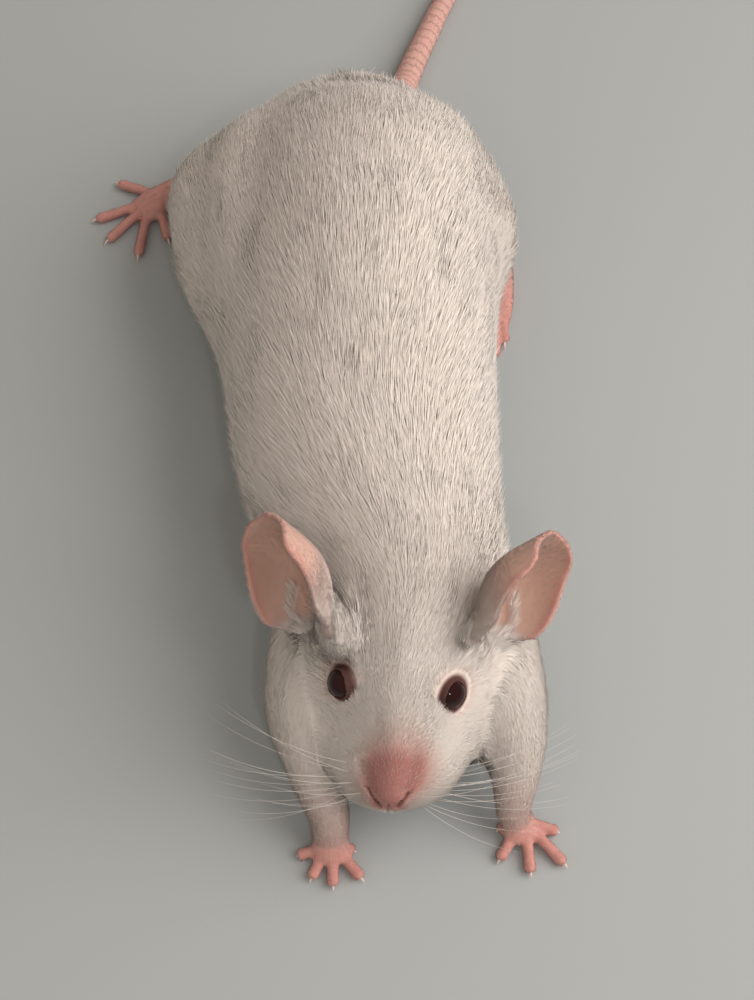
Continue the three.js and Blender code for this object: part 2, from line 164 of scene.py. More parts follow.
HINDFOOT_LEFT = (
    np.array([
        [13, 46.6, 6.4, 2.8, 2.8],
        [15.6, 43.8, 3, 1.7, 2],
        [16.5, 40.6, 1.7, 1.6, 1.8],
        [16.2, 36.6, 1.4, 1.8, 1.5],
        [15.3, 33.2, 0.9, 2.1, 1.05],
    ]),
    0.76,
    [(16.4, 34.6, 16.6, 30.2), (15.8, 33.4, 15.3, 28), (14.9, 33, 13.6, 27.2),
     (14, 33.2, 11.9, 28.2), (13.7, 35, 11.6, 31.8)],
)
FEET = [FOREPAW_RIGHT, FOREPAW_LEFT, HINDFOOT_RIGHT, HINDFOOT_LEFT]
DIGIT = np.array([  # share of the length, thickness, height of the middle
    [0, 0.95, 1.25],
    [0.35, 0.9, 1.45],
    [0.7, 0.92, 1.1],
    [0.88, 1, 1],
    [0.96, 0.75, 0.9],
    [1, 0.35, 0.8],
])
DIGIT_FLAT = 0.1
SHORT_DIGIT = 2
SHORT_LIFT = 1.2
STEEP = 0.9
# Ears: base, the way the leaf grows, the way its hollow faces, and the root of its stalk.
EARS = {
    "right": ((-6.2, -20.1, 19.6), (-0.333, 0.476, 0.814), (-0.596, -0.775, 0.21), (-3.4, -18.6, 15.6)),
    "left": ((11.4, -20.3, 18.2), (0.447, 0.403, 0.798), (0.537, -0.835, 0.12), (8.8, -18.8, 14.6)),
}
EAR_HEIGHT = 15
EAR_THICKNESS = 0.6
EAR_STALK = 0.9
EAR_SAG = np.array([[0, 0], [0.5, 2.6], [1, 0]])  # share of the height, and how far the leaf bows back
EAR_LEAF = np.array([  # share of the height, width in front, width behind, bend
    [0, 3.7, 3.5, 0.236],
    [0.15, 5.8, 6.6, 0.22],
    [0.4, 8.2, 8, 0.208],
    [0.7, 7.4, 6.3, 0.205],
    [0.9, 5.1, 3.5, 0.27],
    [1, 0.2, 0.2, 0.327],
])
EYE_RADIUS = 1.75
EYE_OUT = 5.5
EYE_SHIFT = -0.35
EYE_Y = -26.1
EYE_Z = 17.4
EYE_FACES = {"right": (-0.7, -0.37, 0.61), "left": (0.56, -0.56, 0.61)}  # the way each eye looks

# ---------------------------------------------------------------- sizes of skin and coat, in mm
GRAIN = 0.22  # grid of the skin
SKIN_FACES = 170_000
FINE_REACH = 3.6  # how far round the eyes and the nose the skin has finer faces
TUFTS = 360_000
CREASE_PASSES = 420  # how far creases in the coated skin fill
CURL_RANGE = (-0.3, 0.6)  # of the skin under a tuft, per mm
CURL_PASSES = 6
GROUND_CELL = 1.1  # of the grid in which tufts look up the skin under them
STRAY = 0.04  # share of tufts that stand out of the coat
LOWEST_ROOT = 0.5
WHISKER_REACH = 14  # how far a whisker stands out to its side
LID_RADIUS = EYE_RADIUS + 0.1
EYE_OPENING = (1.26, 0.26)  # half width of the open eye, and how much longer it is than wide
# Along the body: y, depth of the coat, length and width of its tufts, and bareness.
COAT = np.array([
    [-37.4, 0.03, 0.3, 0.03, 0],
    [-35.5, 0.06, 0.5, 0.035, 0],
    [-33, 0.1, 0.8, 0.045, 0],
    [-29, 0.17, 1.25, 0.06, 0],
    [-24, 0.25, 1.65, 0.075, 0],
    [-17, 0.36, 2.2, 0.095, 0],
    [-8, 0.48, 2.8, 0.115, 0],
    [6, 0.56, 3.3, 0.13, 0],
    [50, 0.6, 3.5, 0.135, 0],
    [62.6, 0.6, 3.3, 0.135, 0],
])


# ---------------------------------------------------------------- curves and surfaces
def through(xs, ys, x):
    """Smooth curves through the columns of ys: a cubic in each span of xs, whose slope at each point is the
    harmonic mean of the steps beside it, or 0 where they turn, so that no curve overshoots its points."""
    xs, ys, x = (np.asarray(v, float) for v in (xs, ys, x))
    wide = np.diff(xs)
    steps = np.diff(ys, axis=0) / wide[:, None]
    before, after = steps[:-1], steps[1:]
    total = np.where(before + after == 0, 1, before + after)
    inner = np.where(before * after > 0, 2 * before * after / total, 0)
    slopes = np.vstack([steps[:1], inner, steps[-1:]])
    i = np.clip(np.searchsorted(xs, x) - 1, 0, len(wide) - 1)
    t = np.clip((x - xs[i]) / wide[i], 0, 1)[..., None]
    ends = ys[i] * (2 * t**3 - 3 * t**2 + 1) + ys[i + 1] * (3 * t**2 - 2 * t**3)
    return ends + wide[i][..., None] * (slopes[i] * (t**3 - 2 * t**2 + t) + slopes[i + 1] * (t**3 - t**2))


def read_off(table, x):
    """The further columns of a table at x in its first, on smooth curves."""
    return through(table[:, 0], table[:, 1:], x)


def circle(count):
    """Angles evenly round a circle."""
    return np.linspace(0, 2 * np.pi, count, endpoint=False)


def unit(vectors):
    """Each vector divided by its length."""
    return vectors / np.maximum(np.linalg.norm(vectors, axis=-1, keepdims=True), 1e-9)


def smooth(low, high, x):
    """0 below low, 1 above high, and 3t2 - 2t3 between."""
    t = np.clip((x - low) / (high - low), 0, 1)
    return t * t * (3 - 2 * t)


def dot(a, b):
    """Dot product of matching vectors, kept as a column."""
    return (a * b).sum(-1, keepdims=True)


def noise(points, seed):
    """Smooth random value from -1 to 1: hashed numbers on a unit lattice, blended between by 3t2 - 2t3."""
    cell = np.floor(points).astype(np.int64)
    part = points - cell
    part = part * part * (3 - 2 * part)
    total = np.zeros(len(points))
    for corner in np.ndindex(2, 2, 2):
        mixed = ((cell + corner) * (73856093, 19349663, 83492791)).sum(1) + seed * 2654435761
        mixed = (mixed ^ (mixed >> 13)) * 1274126177 & 0xFFFFFFFF
        value = (mixed ^ (mixed >> 16)) % 65536 / 32767.5 - 1
        total += value * np.prod(np.where(corner, part, 1 - part), axis=1)
    return total


def body_surface(ys, angles):
    """Sections across the body: half width times the cosine, pinched above and filled below by the square of
    the sine, and rise or drop times the sine, then lifted by the head's soft swellings."""
    x, top, mid, low, half, pinch, fill, turn = read_off(BODY, ys).T[..., None]
    c, s = np.cos(angles), np.sin(angles)
    wide = half * c * np.where(s > 0, 1 - pinch * s * s, 1 + fill * s * s)
    high = s * np.where(s > 0, top - mid, mid - low)
    stretch = np.sqrt(1 + turn * turn)
    out = np.stack([wide / stretch, -wide * turn / stretch, high], -1)
    spots = np.stack([x + 0 * c, ys[:, None] + 0 * c, mid + 0 * c], -1) + out
    lift = 0
    for offset, sy, sz, reach, rise in SWELLS.values():
        centre = np.stack([x + np.sign(c) * offset, sy + 0 * x + 0 * c, sz + 0 * x + 0 * c], -1)
        lift = lift + rise * np.exp(-((spots - centre) ** 2).sum(-1, keepdims=True) / reach**2)
    return spots + unit(out) * lift


def line_frame(line, t):
    """Middle, direction, side, upward side and radii of a limb at each share t of its length."""
    along = np.concatenate([[0], np.cumsum(np.linalg.norm(np.diff(line[:, :3], axis=0), axis=1))])
    shares = (np.clip(t + step, 0, 1) for step in (-0.01, 0, 0.01))
    before, here, after = (through(along, line, share * along[-1]) for share in shares)
    ahead = unit(after[:, :3] - before[:, :3])
    above = np.where(np.abs(ahead[:, 2:]) > STEEP, (0, 1, 0), (0, 0, 1))
    side = unit(np.cross(ahead, above))
    return here[:, :3], ahead, side, np.cross(side, ahead), here[:, 3:]


def limb_surface(line, count, sides, sunk):
    """Ellipses square to the limb's line, widest to the side, less the depth of the coat."""
    middle, _, side, up, radii = line_frame(line, np.linspace(0, 1, count))
    angle = circle(sides)[:, None]
    wide, high = np.maximum(radii - np.reshape(sunk, (-1, 1)), 0.2).T[:, :, None, None]
    return middle[:, None] + side[:, None] * wide * np.cos(angle) + up[:, None] * high * np.sin(angle)


def digit_line(digit, thickness):
    """A digit's line: straight from root to tip in plan, arched and rounded by the digit profile."""
    root, tip = np.array(digit[:2]), np.array(digit[2:])
    lift = DIGIT[:, 2] if np.linalg.norm(tip - root) > SHORT_DIGIT else SHORT_LIFT + 0 * DIGIT[:, 2]
    plan = root + (tip - root) * DIGIT[:, :1]
    return np.column_stack([plan, (thickness - DIGIT_FLAT) * lift, thickness * DIGIT[:, [1, 1]]])


def ear_frame(ear):
    """Base, growing direction, facing direction and backward direction of an ear."""
    base, grows, faces, _ = (np.array(v, float) for v in EARS[ear])
    grows = unit(grows)
    faces = unit(faces - grows * (faces @ grows))
    backward = np.cross(grows, faces)
    return base, grows, faces, backward * np.sign(backward[1])


def ear_surface(ear, rows, columns, thickness):
    """A curled leaf: each row is an arc of the leaf's bend there, with a second arc behind it."""
    base, grows, faces, backward = ear_frame(ear)
    t = np.linspace(0, 1, rows)
    front, back, bend = read_off(EAR_LEAF, t).T[:, :, None]
    sag = read_off(EAR_SAG, t)
    turn = np.linspace(-1, 1, columns)
    turns = np.concatenate([turn, turn[::-1]])
    depth = np.repeat([thickness / 2, -thickness / 2], columns)
    angle = turns * np.where(turns < 0, front, back) * bend
    radius = (1 / bend + depth)[..., None]
    angle = angle[..., None]
    leaf = base + grows * EAR_HEIGHT * t[:, None, None] + backward * radius * np.sin(angle)
    leaf = leaf + faces * (1 / bend[..., None] - radius * np.cos(angle) - sag[..., None])
    stalk = (leaf[0] - leaf[0].mean(0)) * EAR_STALK + np.array(EARS[ear][3])
    return np.concatenate([[stalk], [(stalk + leaf[0]) / 2], leaf])


def inward(grid, depth):
    """A closed grid of rings moved in along its own normals."""
    wrapped = np.concatenate([grid[:, -1:], grid, grid[:, :1]], 1)
    round_it = (wrapped[:, 2:] - wrapped[:, :-2]) / 2
    along = np.gradient(grid, axis=0)
    normal = unit(np.cross(round_it, along))
    middle = grid.mean(1, keepdims=True)
    flip = np.sign((normal * (grid - middle)).sum(-1).mean())
    return grid - normal * flip * depth


# ---------------------------------------------------------------- meshes
def in_frame(points):
    """Layout millimetres as metres of the frame."""
    return (points + SHIFT) * MM


def add_object(name, data):
    """A new object of the scene."""
    made = bpy.data.objects.new(name, data)
    bpy.context.scene.collection.objects.link(made)
    return made


def dress(mesh, material):
    """Gives a mesh smooth faces of one material."""
    mesh.polygons.foreach_set("use_smooth", np.ones(len(mesh.polygons), bool))
    mesh.materials.clear()
    mesh.materials.append(material)


def mesh_piece(name, points, faces, material, uv=None):
    """A mesh object at the origin from points in layout millimetres and faces of equal size."""
    mesh = bpy.data.meshes.new(name)
    faces = np.asarray(faces, np.int32)
    count, size = faces.shape
    mesh.vertices.add(len(points))
    mesh.vertices.foreach_set("co", in_frame(points).astype(np.float32).ravel())
    mesh.loops.add(count * size)
    mesh.loops.foreach_set("vertex_index", faces.ravel())
    mesh.polygons.add(count)
    mesh.polygons.foreach_set("loop_start", np.arange(count, dtype=np.int32) * size)
    mesh.update(calc_edges=True)
    dress(mesh, material)
    if uv is not None:
        layer = mesh.uv_layers.new(name="OFBake")
        layer.data.foreach_set("uv", uv.astype(np.float32).ravel())
    return add_object(name, mesh)


def points_of(mesh):
    """A mesh's vertices in layout millimetres."""
    flat = np.zeros(len(mesh.vertices) * 3, np.float32)
    mesh.vertices.foreach_get("co", flat)
    return flat.reshape(-1, 3).astype(float) / MM - SHIFT


def triangles_of(mesh):
    """A mesh's triangles as vertex numbers."""
    mesh.calc_loop_triangles()
    flat = np.zeros(len(mesh.loop_triangles) * 3, np.int32)
    mesh.loop_triangles.foreach_get("vertices", flat)
    return flat.reshape(-1, 3)


def set_points(mesh, points):
    """Moves a mesh's vertices to points given in layout millimetres."""
    mesh.vertices.foreach_set("co", in_frame(points).astype(np.float32).ravel())
    mesh.update()


def normals_at(points, triangles):
    """Unit normals at the vertices: the sum of the cross products of the faces round each."""
    a, b, c = (points[triangles[:, i]] for i in range(3))
    face = np.cross(b - a, c - a)
    total = np.zeros_like(points)
    for i in range(3):
        for axis in range(3):
            total[:, axis] += np.bincount(triangles[:, i], face[:, axis], len(points))
    return unit(total)


def quads(rings, sides, start):
    """Faces between neighbouring rings of a closed tube whose vertices are numbered from start."""
    i, j = np.meshgrid(np.arange(rings - 1) * sides, np.arange(sides), indexing="ij")
    k = (j + 1) % sides
    return start + np.stack([i + j, i + k, i + sides + k, i + sides + j], -1).reshape(-1, 4)


def shells_mesh(grids):
    """One mesh of closed tubes: quads between the rings and a many-sided face at each end."""
    points, faces, start = [], [], 0
    for grid in grids:
        rings, sides = grid.shape[:2]
        points.append(grid.reshape(-1, 3))
        faces += quads(rings, sides, start).tolist()
        faces += [list(range(start + sides - 1, start - 1, -1))]
        faces += [list(range(start + (rings - 1) * sides, start + rings * sides))]
        start += rings * sides
    mesh = bpy.data.meshes.new("shells")
    mesh.from_pydata(in_frame(np.concatenate(points)).tolist(), [], faces)
    return mesh


def applied(piece):
    """The piece's mesh with its modifiers made final."""
    bpy.context.view_layer.update()
    shown = piece.evaluated_get(bpy.context.evaluated_depsgraph_get())
    mesh = bpy.data.meshes.new_from_object(shown)
    piece.modifiers.clear()
    piece.data = mesh
    return mesh


# ---------------------------------------------------------------- where the layout sits in the frame
def body_middle(y):
    """Middle x of the body at y."""
    return float(read_off(BODY, y)[0])


HEAD_TURN = (body_middle(EYE_Y + 2) - body_middle(EYE_Y - 2)) / 4


def eye_centre(side):
    """Centre of an eye: out to its side of the head and turned with it."""
    out = side * EYE_OUT
    return np.array([body_middle(EYE_Y) + EYE_SHIFT + out, EYE_Y - out * HEAD_TURN, EYE_Z])


EYES = {"right": eye_centre(-1), "left": eye_centre(1)}
eye_low, eye_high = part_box("eye_left")
SHIFT = np.array(eye_low + eye_high) / 2 / MM - EYES["left"]

# ---------------------------------------------------------------- regions of the skin
# Along each limb: share of its length, depth of the coat, length and width of its tufts, and bareness.
FORELEG_COAT = np.array([
    [0, 0.45, 2.2, 0.1, 0],
    [0.45, 0.35, 1.6, 0.08, 0],
    [0.7, 0.22, 1, 0.06, 0.1],
    [0.85, 0.12, 0.7, 0.045, 0.5],
    [1, 0.06, 0.5, 0.035, 0.85],
])
HINDLEG_COAT = np.array([[0, 0.55, 3.2, 0.13, 0], [0.8, 0.55, 2.8, 0.12, 0], [1, 0.45, 2.2, 0.1, 0]])
SOLE_COAT = np.array([[0, 0.12, 0.9, 0.05, 0.75], [0.25, 0.06, 0.7, 0.045, 0.92], [1, 0.04, 0.5, 0.04, 1]])
DIGIT_COAT = np.array([[0, 0.04, 0.45, 0.04, 1], [1, 0.02, 0.3, 0.035, 1]])
TAIL_COAT = np.array([
    [0, 0.5, 2.2, 0.11, 0],
    [0.07, 0.2, 1.2, 0.07, 0.5],
    [0.15, 0.06, 0.8, 0.05, 1],
    [1, 0.04, 0.5, 0.04, 1],
])
FILLER_COAT = np.array([[0, 0.5, 2.6, 0.11, 0], [1, 0.35, 1.8, 0.08, 0]])
MOUND_COAT = np.array([[0, 0.3, 1.4, 0.06, 0], [1, 0.22, 1.2, 0.042, 0]])
# Flesh that fills the corners between head and foreleg, then between back and thigh.
FILLERS = [
    np.array([[-3, -14, 13, 7, 7], [-5, -22, 9.5, 5.5, 4.5], [-5, -28, 8, 3.6, 3.0]]),
    np.array([[7, -14, 13, 7, 7], [10, -22, 9.5, 5.5, 4.5], [12, -28, 8, 3.5, 3.0]]),
    np.array([[-9, 16, 14, 7, 7], [-11.5, 26, 14.8, 8.5, 8.5], [-13.6, 36, 15, 8.6, 8.6],
              [-14.2, 45, 14.2, 8.4, 8], [-13.5, 51, 13, 7.2, 6.5], [-12, 55.5, 12, 5, 4.5]]),
    np.array([[7, 28, 12, 6, 6], [8.2, 34, 12.6, 7.2, 7], [8.6, 40, 12.8, 7.6, 7.2], [8.2, 46, 12.8, 7, 6.8],
              [6.8, 51.5, 12.6, 5.6, 5.4]]),
]
MOUNDS = [  # furred flesh up the inner edge of each ear
    np.array([[-3.6, -21.2, 17, 3, 3], [-4.2, -21.5, 20.8, 2.5, 2.5], [-4.5, -21.1, 23.6, 1.9, 1.9],
              [-5, -20.3, 25.8, 1.3, 1.3], [-5.4, -19.6, 27.4, 0.6, 0.6]]),
    np.array([[8.6, -21.2, 16, 2.8, 2.8], [9.4, -21.7, 19, 2.1, 2.1], [9.9, -21.8, 21.4, 1.4, 1.4],
              [10.3, -21.6, 23.2, 0.6, 0.6]]),
]


def into_paw(leg, paw):
    """The leg's line carried on into the paw."""
    return np.vstack([leg, paw[0][1] * (1, 1, 1, 0.9, 0.9)])


# Every limb's line, its coat, and the rings and sides of its tube.
LIMBS = [
    (into_paw(FORELEG_RIGHT, FOREPAW_RIGHT), FORELEG_COAT, 28, 40),
    (into_paw(FORELEG_LEFT, FOREPAW_LEFT), FORELEG_COAT, 28, 40),
    (HINDLEG_RIGHT, HINDLEG_COAT, 36, 48),
    (HINDLEG_LEFT, HINDLEG_COAT, 32, 40),
    (TAIL, TAIL_COAT, 160, 20),
]
for sole, thickness, digits in FEET:
    LIMBS.append((sole, SOLE_COAT, 20, 24))
    LIMBS += [(digit_line(digit, thickness), DIGIT_COAT, 16, 14) for digit in digits]
LIMBS += [(line, FILLER_COAT, 20, 36) for line in FILLERS]
LIMBS += [(line, MOUND_COAT, 20, 28) for line in MOUNDS]
TAIL_OWNER = 5  # the body owns 0, and the limbs the numbers after it


def near_line(points, line):
    """For each point: nearest share of the limb's length, distance from the limb's line over its radius,
    angle round it, and the way the limb grows there."""
    t = np.linspace(0, 1, 61)
    middle, ahead, side, up, radii = line_frame(line, t)
    gap = (points**2).sum(1)[:, None] - 2 * points @ middle.T + (middle**2).sum(1)
    i = gap.argmin(1)
    away = points - middle[i]
    across = dot(away, side[i])[:, 0] / radii[i, 0]
    over = dot(away, up[i])[:, 0] / radii[i, 1]
    past = dot(away, ahead[i])[:, 0] / radii[i].mean(1)
    return t[i], np.sqrt(across**2 + over**2 + past**2), np.arctan2(over, across), ahead[i]


def near_body(points):
    """The same four values for the body's sections, whose hairs point back, down the flanks and outwards."""
    x, top, mid, low, half, pinch, fill, _ = read_off(BODY, points[:, 1]).T
    over = (points[:, 2] - mid) / np.where(points[:, 2] > mid, top - mid, mid - low)
    square = np.minimum(over**2, 1)
    across = (points[:, 0] - x) / (half * np.where(over > 0, 1 - pinch * square, 1 + fill * square))
    ahead_x = read_off(BODY, points[:, 1] + 1)[:, 0] - x
    grow = np.column_stack([ahead_x + 0.22 * across, np.ones(len(x)), -0.28 * np.abs(across)])
    t = (points[:, 1] - BODY[0, 0]) / (BODY[-1, 0] - BODY[0, 0])
    return t, np.hypot(over, across), np.arctan2(over, across), unit(grow)


def near_ear(points, ear):
    """For each point: share of the ear's height, turn round its curl from -1 to 1, distance outside the
    middle of the leaf, and how far the point belongs to the leaf, from 0 to 1."""
    base, grows, faces, backward = ear_frame(ear)
    away = points - base
    t = away @ grows / EAR_HEIGHT
    front, back, bend = read_off(EAR_LEAF, t).T
    sag = read_off(EAR_SAG, t)[:, 0]
    forward = away @ faces - (1 / bend - sag)
    sideways = away @ backward
    outer = np.hypot(forward, sideways) - 1 / bend
    angle = np.arctan2(sideways, -forward)
    turn = angle / (np.where(angle < 0, front, back) * bend)
    own = (1 - smooth(0.5, 1.0, np.abs(outer))) * (1 - smooth(1.1, 1.4, np.abs(turn)))
    return t, turn, outer, own * smooth(-0.1, 0.06, t) * (1 - smooth(1.03, 1.08, t))


def ear_hair(t, turn, outer):
    """Share of hair on an ear: on the inner third of its hollow, the lower back and round the inner base."""
    hollow = 1 - smooth(-0.15, 0.15, outer)
    inner = 0.6 * hollow * (1 - smooth(-0.95, -0.35, turn)) * (1 - smooth(0.3, 0.8, t))
    back = 0.85 * (1 - hollow) * (1 - smooth(0.1, 0.8, t))
    base = 1 - smooth(-0.02, 0.14, t)
    return np.maximum(np.maximum(inner, back), base)


def nose_mask(points):
    """How bare the nose is: 1 on its pad and 0 where the coat starts. It is as wide as NOSE says at each y,
    about a middle that follows the turn of the head, and ends above the lip."""
    x, y, z = points.T
    middle, half = read_off(NOSE, y).T
    beside = smooth(0.6, 1.35, np.abs(x - middle) / half)
    return (1 - beside) * (1 - smooth(-33.8, -28.8, y)) * smooth(10.7, 11.5, z)


def round_eye(points, side):
    """Height of each point over an eye's middle, its distance from the line that the eye looks along, the
    half width of the open lids that way, and that line. The opening is an oval, longer from front to back."""
    out = unit(np.array(EYE_FACES[side]))
    front = unit(np.array([0, -1, 0]) - out * -out[1])
    away = points - EYES[side]
    height, ahead, over = away @ out, away @ front, away @ np.cross(out, front)
    reach = np.hypot(ahead, over)
    return height, reach, EYE_OPENING[0] + EYE_OPENING[1] * (ahead / np.maximum(reach, 0.01)) ** 2, out


def lid_mask(points):
    """1 on the bare rims of the lids, and 0 where the coat starts."""
    mask = 0
    for side in EYES:
        height, reach, opening, _ = round_eye(points, side)
        mask = np.maximum(mask, (height > 0) * (1 - smooth(0.42, 1.1, reach - opening)))
    return mask


def nostril_mask(points):
    """1 in the nostrils: two commas in the front view, drawn out to the sides."""
    x, y, z = points.T
    x = np.abs(x - NOSE_TIP[0])
    hole = groove(x, z, (0.9, 11.8), (1.4, 12.4), 0.24)
    wing = groove(x, z, (1.4, 12.4), (2.2, 12.9), 0.15)
    return np.maximum(hole, wing) * (1 - smooth(-35.6, -34.6, y))


EAR_BARE = np.array([0.04, 0.5, 0.03, 1])  # depth of coat, length and width of tufts, and bareness
EAR_HAIRED = np.array([0.06, 0.9, 0.035, 0.2])
RUFF = np.array([0.35, 1.2, 0, 0])  # what the coat gains at the inner base of each ear
RUFF_REACH = 3.2
NOSE = np.array([  # y, middle x and half width of its bare skin
    [-38, 1.2, 1.7],
    [-37.2, 1.2, 2.1],
    [-36.2, 1.45, 3.1],
    [-35, 1.8, 4.1],
    [-33, 2.1, 4.1],
    [-31.5, 2.2, 3.1],
    [-30, 2.3, 2],
])
NOSE_TIP = np.array([1.2, -36.6, 11])
BLEND = 9  # how sharply the coat of one part gives way to the next
TILES = 6  # tiles of the unwrap along each side, under the body's own sheet
BODY_COMB = 100.0
TILE_SIZE = np.array([1 / TILES, 0.4 / TILES])


def on_tile(tile, across, up):
    """The place on the unwrap of shares across and up a tile, inside its margin."""
    return (tile + np.column_stack([across, np.clip(up, 0, 1)]) * 0.92 + 0.04) * TILE_SIZE


def comb_and_unwrap(fields, owner):
    """Comb coordinates of each point, along and round the part that owns it, and its place on the unwrap:
    the body's own sheet above, and a tile for each limb below."""
    along, turn = np.zeros((2, len(owner)))
    size = np.full(len(owner), BODY_COMB)
    tile = np.zeros((len(owner), 2))
    for k, field in enumerate(fields):
        mine = owner == k
        along = np.where(mine, field[0], along)
        turn = np.where(mine, field[2] / (2 * np.pi) + 0.5, turn)
        if k:
            steps = np.linalg.norm(np.diff(LIMBS[k - 1][0][:, :3], axis=0), axis=1)
            size = np.where(mine, steps.sum(), size)
            tile[mine] = ((k - 1) % TILES, (k - 1) // TILES)
    sheet = np.column_stack([turn, 0.42 + 0.57 * np.clip(along, 0, 1)])
    uv = np.where((owner == 0)[:, None], sheet, on_tile(tile, turn, along))
    return np.column_stack([along * size, turn * 8 * np.pi, owner]), uv


def coat_fields(points):
    """What grows at each point of the skin: the lie, depth of coat, length and width of tufts, bareness,
    comb coordinates, place on the unwrap, tints of ears (giving way to pink skin along the rims, a painted
    rim light), of the nose, and of lids and nostrils (near black, painted shade), and the part that owns it.
    Coats blend by how near each part is."""
    fields = [near_body(points)] + [near_line(points, line) for line, *_ in LIMBS]
    closeness = np.stack([f[1] for f in fields], 1)
    weight = np.exp(-BLEND * (closeness - closeness.min(1, keepdims=True)))
    weight /= weight.sum(1, keepdims=True)
    owner = closeness.argmin(1)
    lie = weight[:, :1] * fields[0][3]
    coat = weight[:, :1] * read_off(COAT, points[:, 1])
    for k, (_, table, *_) in enumerate(LIMBS, 1):
        lie = lie + weight[:, k:k + 1] * fields[k][3]
        coat = coat + weight[:, k:k + 1] * read_off(table, fields[k][0])
    comb, uv = comb_and_unwrap(fields, owner)
    ears = np.zeros(len(points))
    for n, ear in enumerate(EARS):
        t, across, outer, own = near_ear(points, ear)
        _, grows, _, backward = ear_frame(ear)
        hair = ear_hair(t, across, outer)[:, None]
        own = own[:, None]
        lie = lie * (1 - own) + (grows + backward * 0.5 * (across[:, None] + 0.3)) * own
        coat = coat * (1 - own) + (EAR_BARE * (1 - hair) + EAR_HAIRED * hair) * own
        away = points - (np.array(EARS[ear][0]) - 2.5 * backward + grows)
        ruff = np.exp(-dot(away, away) / RUFF_REACH**2) * (1 - own)
        lie = lie + grows * ruff
        coat = coat + RUFF * ruff
        # Along each ear's edges and round its tip the ear tone gives way to the pink of bare skin: a painted
        # rim light, for the line of light along the rim.
        rim = np.maximum(smooth(0.84, 0.96, np.abs(across)), smooth(0.9, 0.97, t))
        ears = np.maximum(ears, own[:, 0] * (1 - 0.7 * rim))
        mine = own[:, 0] > 0.5
        uv[mine] = on_tile((4 + n, TILES - 1), (across + 1.4) / 2.8 / 2 + 0.5 * (outer > 0), t)[mine]
        comb[mine] = np.column_stack([t * EAR_HEIGHT, across * 6, outer])[mine]
    # Lids and nostrils take the near-black tone: the lids' own dark skin deepened by painted shade where each
    # eye sits in its socket, and painted shade inside the nostrils.
    nose, lid_and_nostril_shade = nose_mask(points), np.maximum(lid_mask(points), 0.75 * nostril_mask(points))
    depth, length, width, bare = coat.T
    tint = np.column_stack([ears, nose, lid_and_nostril_shade])
    bare = np.maximum(bare, tint[:, 1:].max(1))
    return {"lie": lie, "depth": depth, "length": length, "width": width, "bare": bare, "comb": comb,
            "uv": uv, "tint": tint, "owner": owner}


# ---------------------------------------------------------------- the skin's fine forms
def eye_forms(points):
    """Lids: round each eye the skin hugs the ball up to a rim, where it stands higher it slopes down to the
    rim, and inside the rim it drops behind the ball."""
    moved = points.copy()
    for side in EYES:
        height, reach, opening, out = round_eye(moved, side)
        shown = (reach < 3.4) & (height > -0.6)
        ball = np.sqrt(np.maximum(LID_RADIUS**2 - reach**2, 0))
        hug = np.where(reach < LID_RADIUS, np.maximum(height, ball), height)
        edge = np.sqrt(LID_RADIUS**2 - opening**2)
        slope = edge + (height - edge) * smooth(0, 1.4, reach - opening)
        hug = np.where(height > edge, slope, hug)
        inside = 1 - smooth(-0.14, 0.06, reach - opening)
        rim = 0.1 * np.exp(-((reach - opening - 0.16) / 0.17) ** 2)
        level = hug * (1 - inside) + np.minimum(height, ball - 0.55) * inside + rim
        moved += np.where(shown, level - height, 0)[:, None] * out
    return moved


def groove(x, z, start, end, wide):
    """1 on the straight line from start to end, falling off with the square of distance over width."""
    start, end = np.array(start), np.array(end)
    span = end - start
    t = np.clip(((x - start[0]) * span[0] + (z - start[1]) * span[1]) / (span @ span), 0, 1)
    gap = (x - start[0] - t * span[0]) ** 2 + (z - start[1] - t * span[1]) ** 2
    return np.exp(-gap / wide**2)


def nose_forms(points):
    """Depth of the nostrils, the slit under the nose, the closed lips and the folds beside the nose."""
    x, y, z = points.T
    x = x - NOSE_TIP[0]
    ahead = 1 - smooth(-35.6, -34.6, y)
    slit = groove(x, z, (0, 12.3), (0, 9.3), 0.15)
    lips = groove(np.abs(x), z, (0, 9.3), (3.2, 8.6), 0.16)
    folds = groove(np.abs(x), y, (1.7, -36.3), (2.9, -33.2), 0.5) * smooth(12.6, 13.4, z)
    return 0.55 * nostril_mask(points) + ahead * (0.3 * slit + 0.3 * lips) + 0.28 * folds


def ear_forms(points, normals):
    """Soft folds on the hollow side of each ear: ridges that run from its base towards the tip, and one that
    bends behind its middle."""
    lift = np.zeros(len(points))
    for ear in EARS:
        t, turn, outer, own = near_ear(points, ear)
        hollow = own * (1 - smooth(-0.15, 0.15, outer))
        low = np.exp(-((t - 0.12) / 0.22) ** 2)
        for at, rise, wide in ((-0.5, 0.22, 0.16), (-0.15, 0.2, 0.14)):
            lift += hollow * low * rise * np.exp(-((turn - at * (1 - 0.4 * t)) / wide) ** 2)
        upper = groove(turn, t * 2, (0.3, 0.56), (0.5, 0.2), 0.07)
        lower = groove(turn, t * 2, (0.5, 0.2), (0.3, -0.1), 0.07)
        lift += hollow * 0.5 * np.maximum(upper, lower)
    return points + normals * lift[:, None]


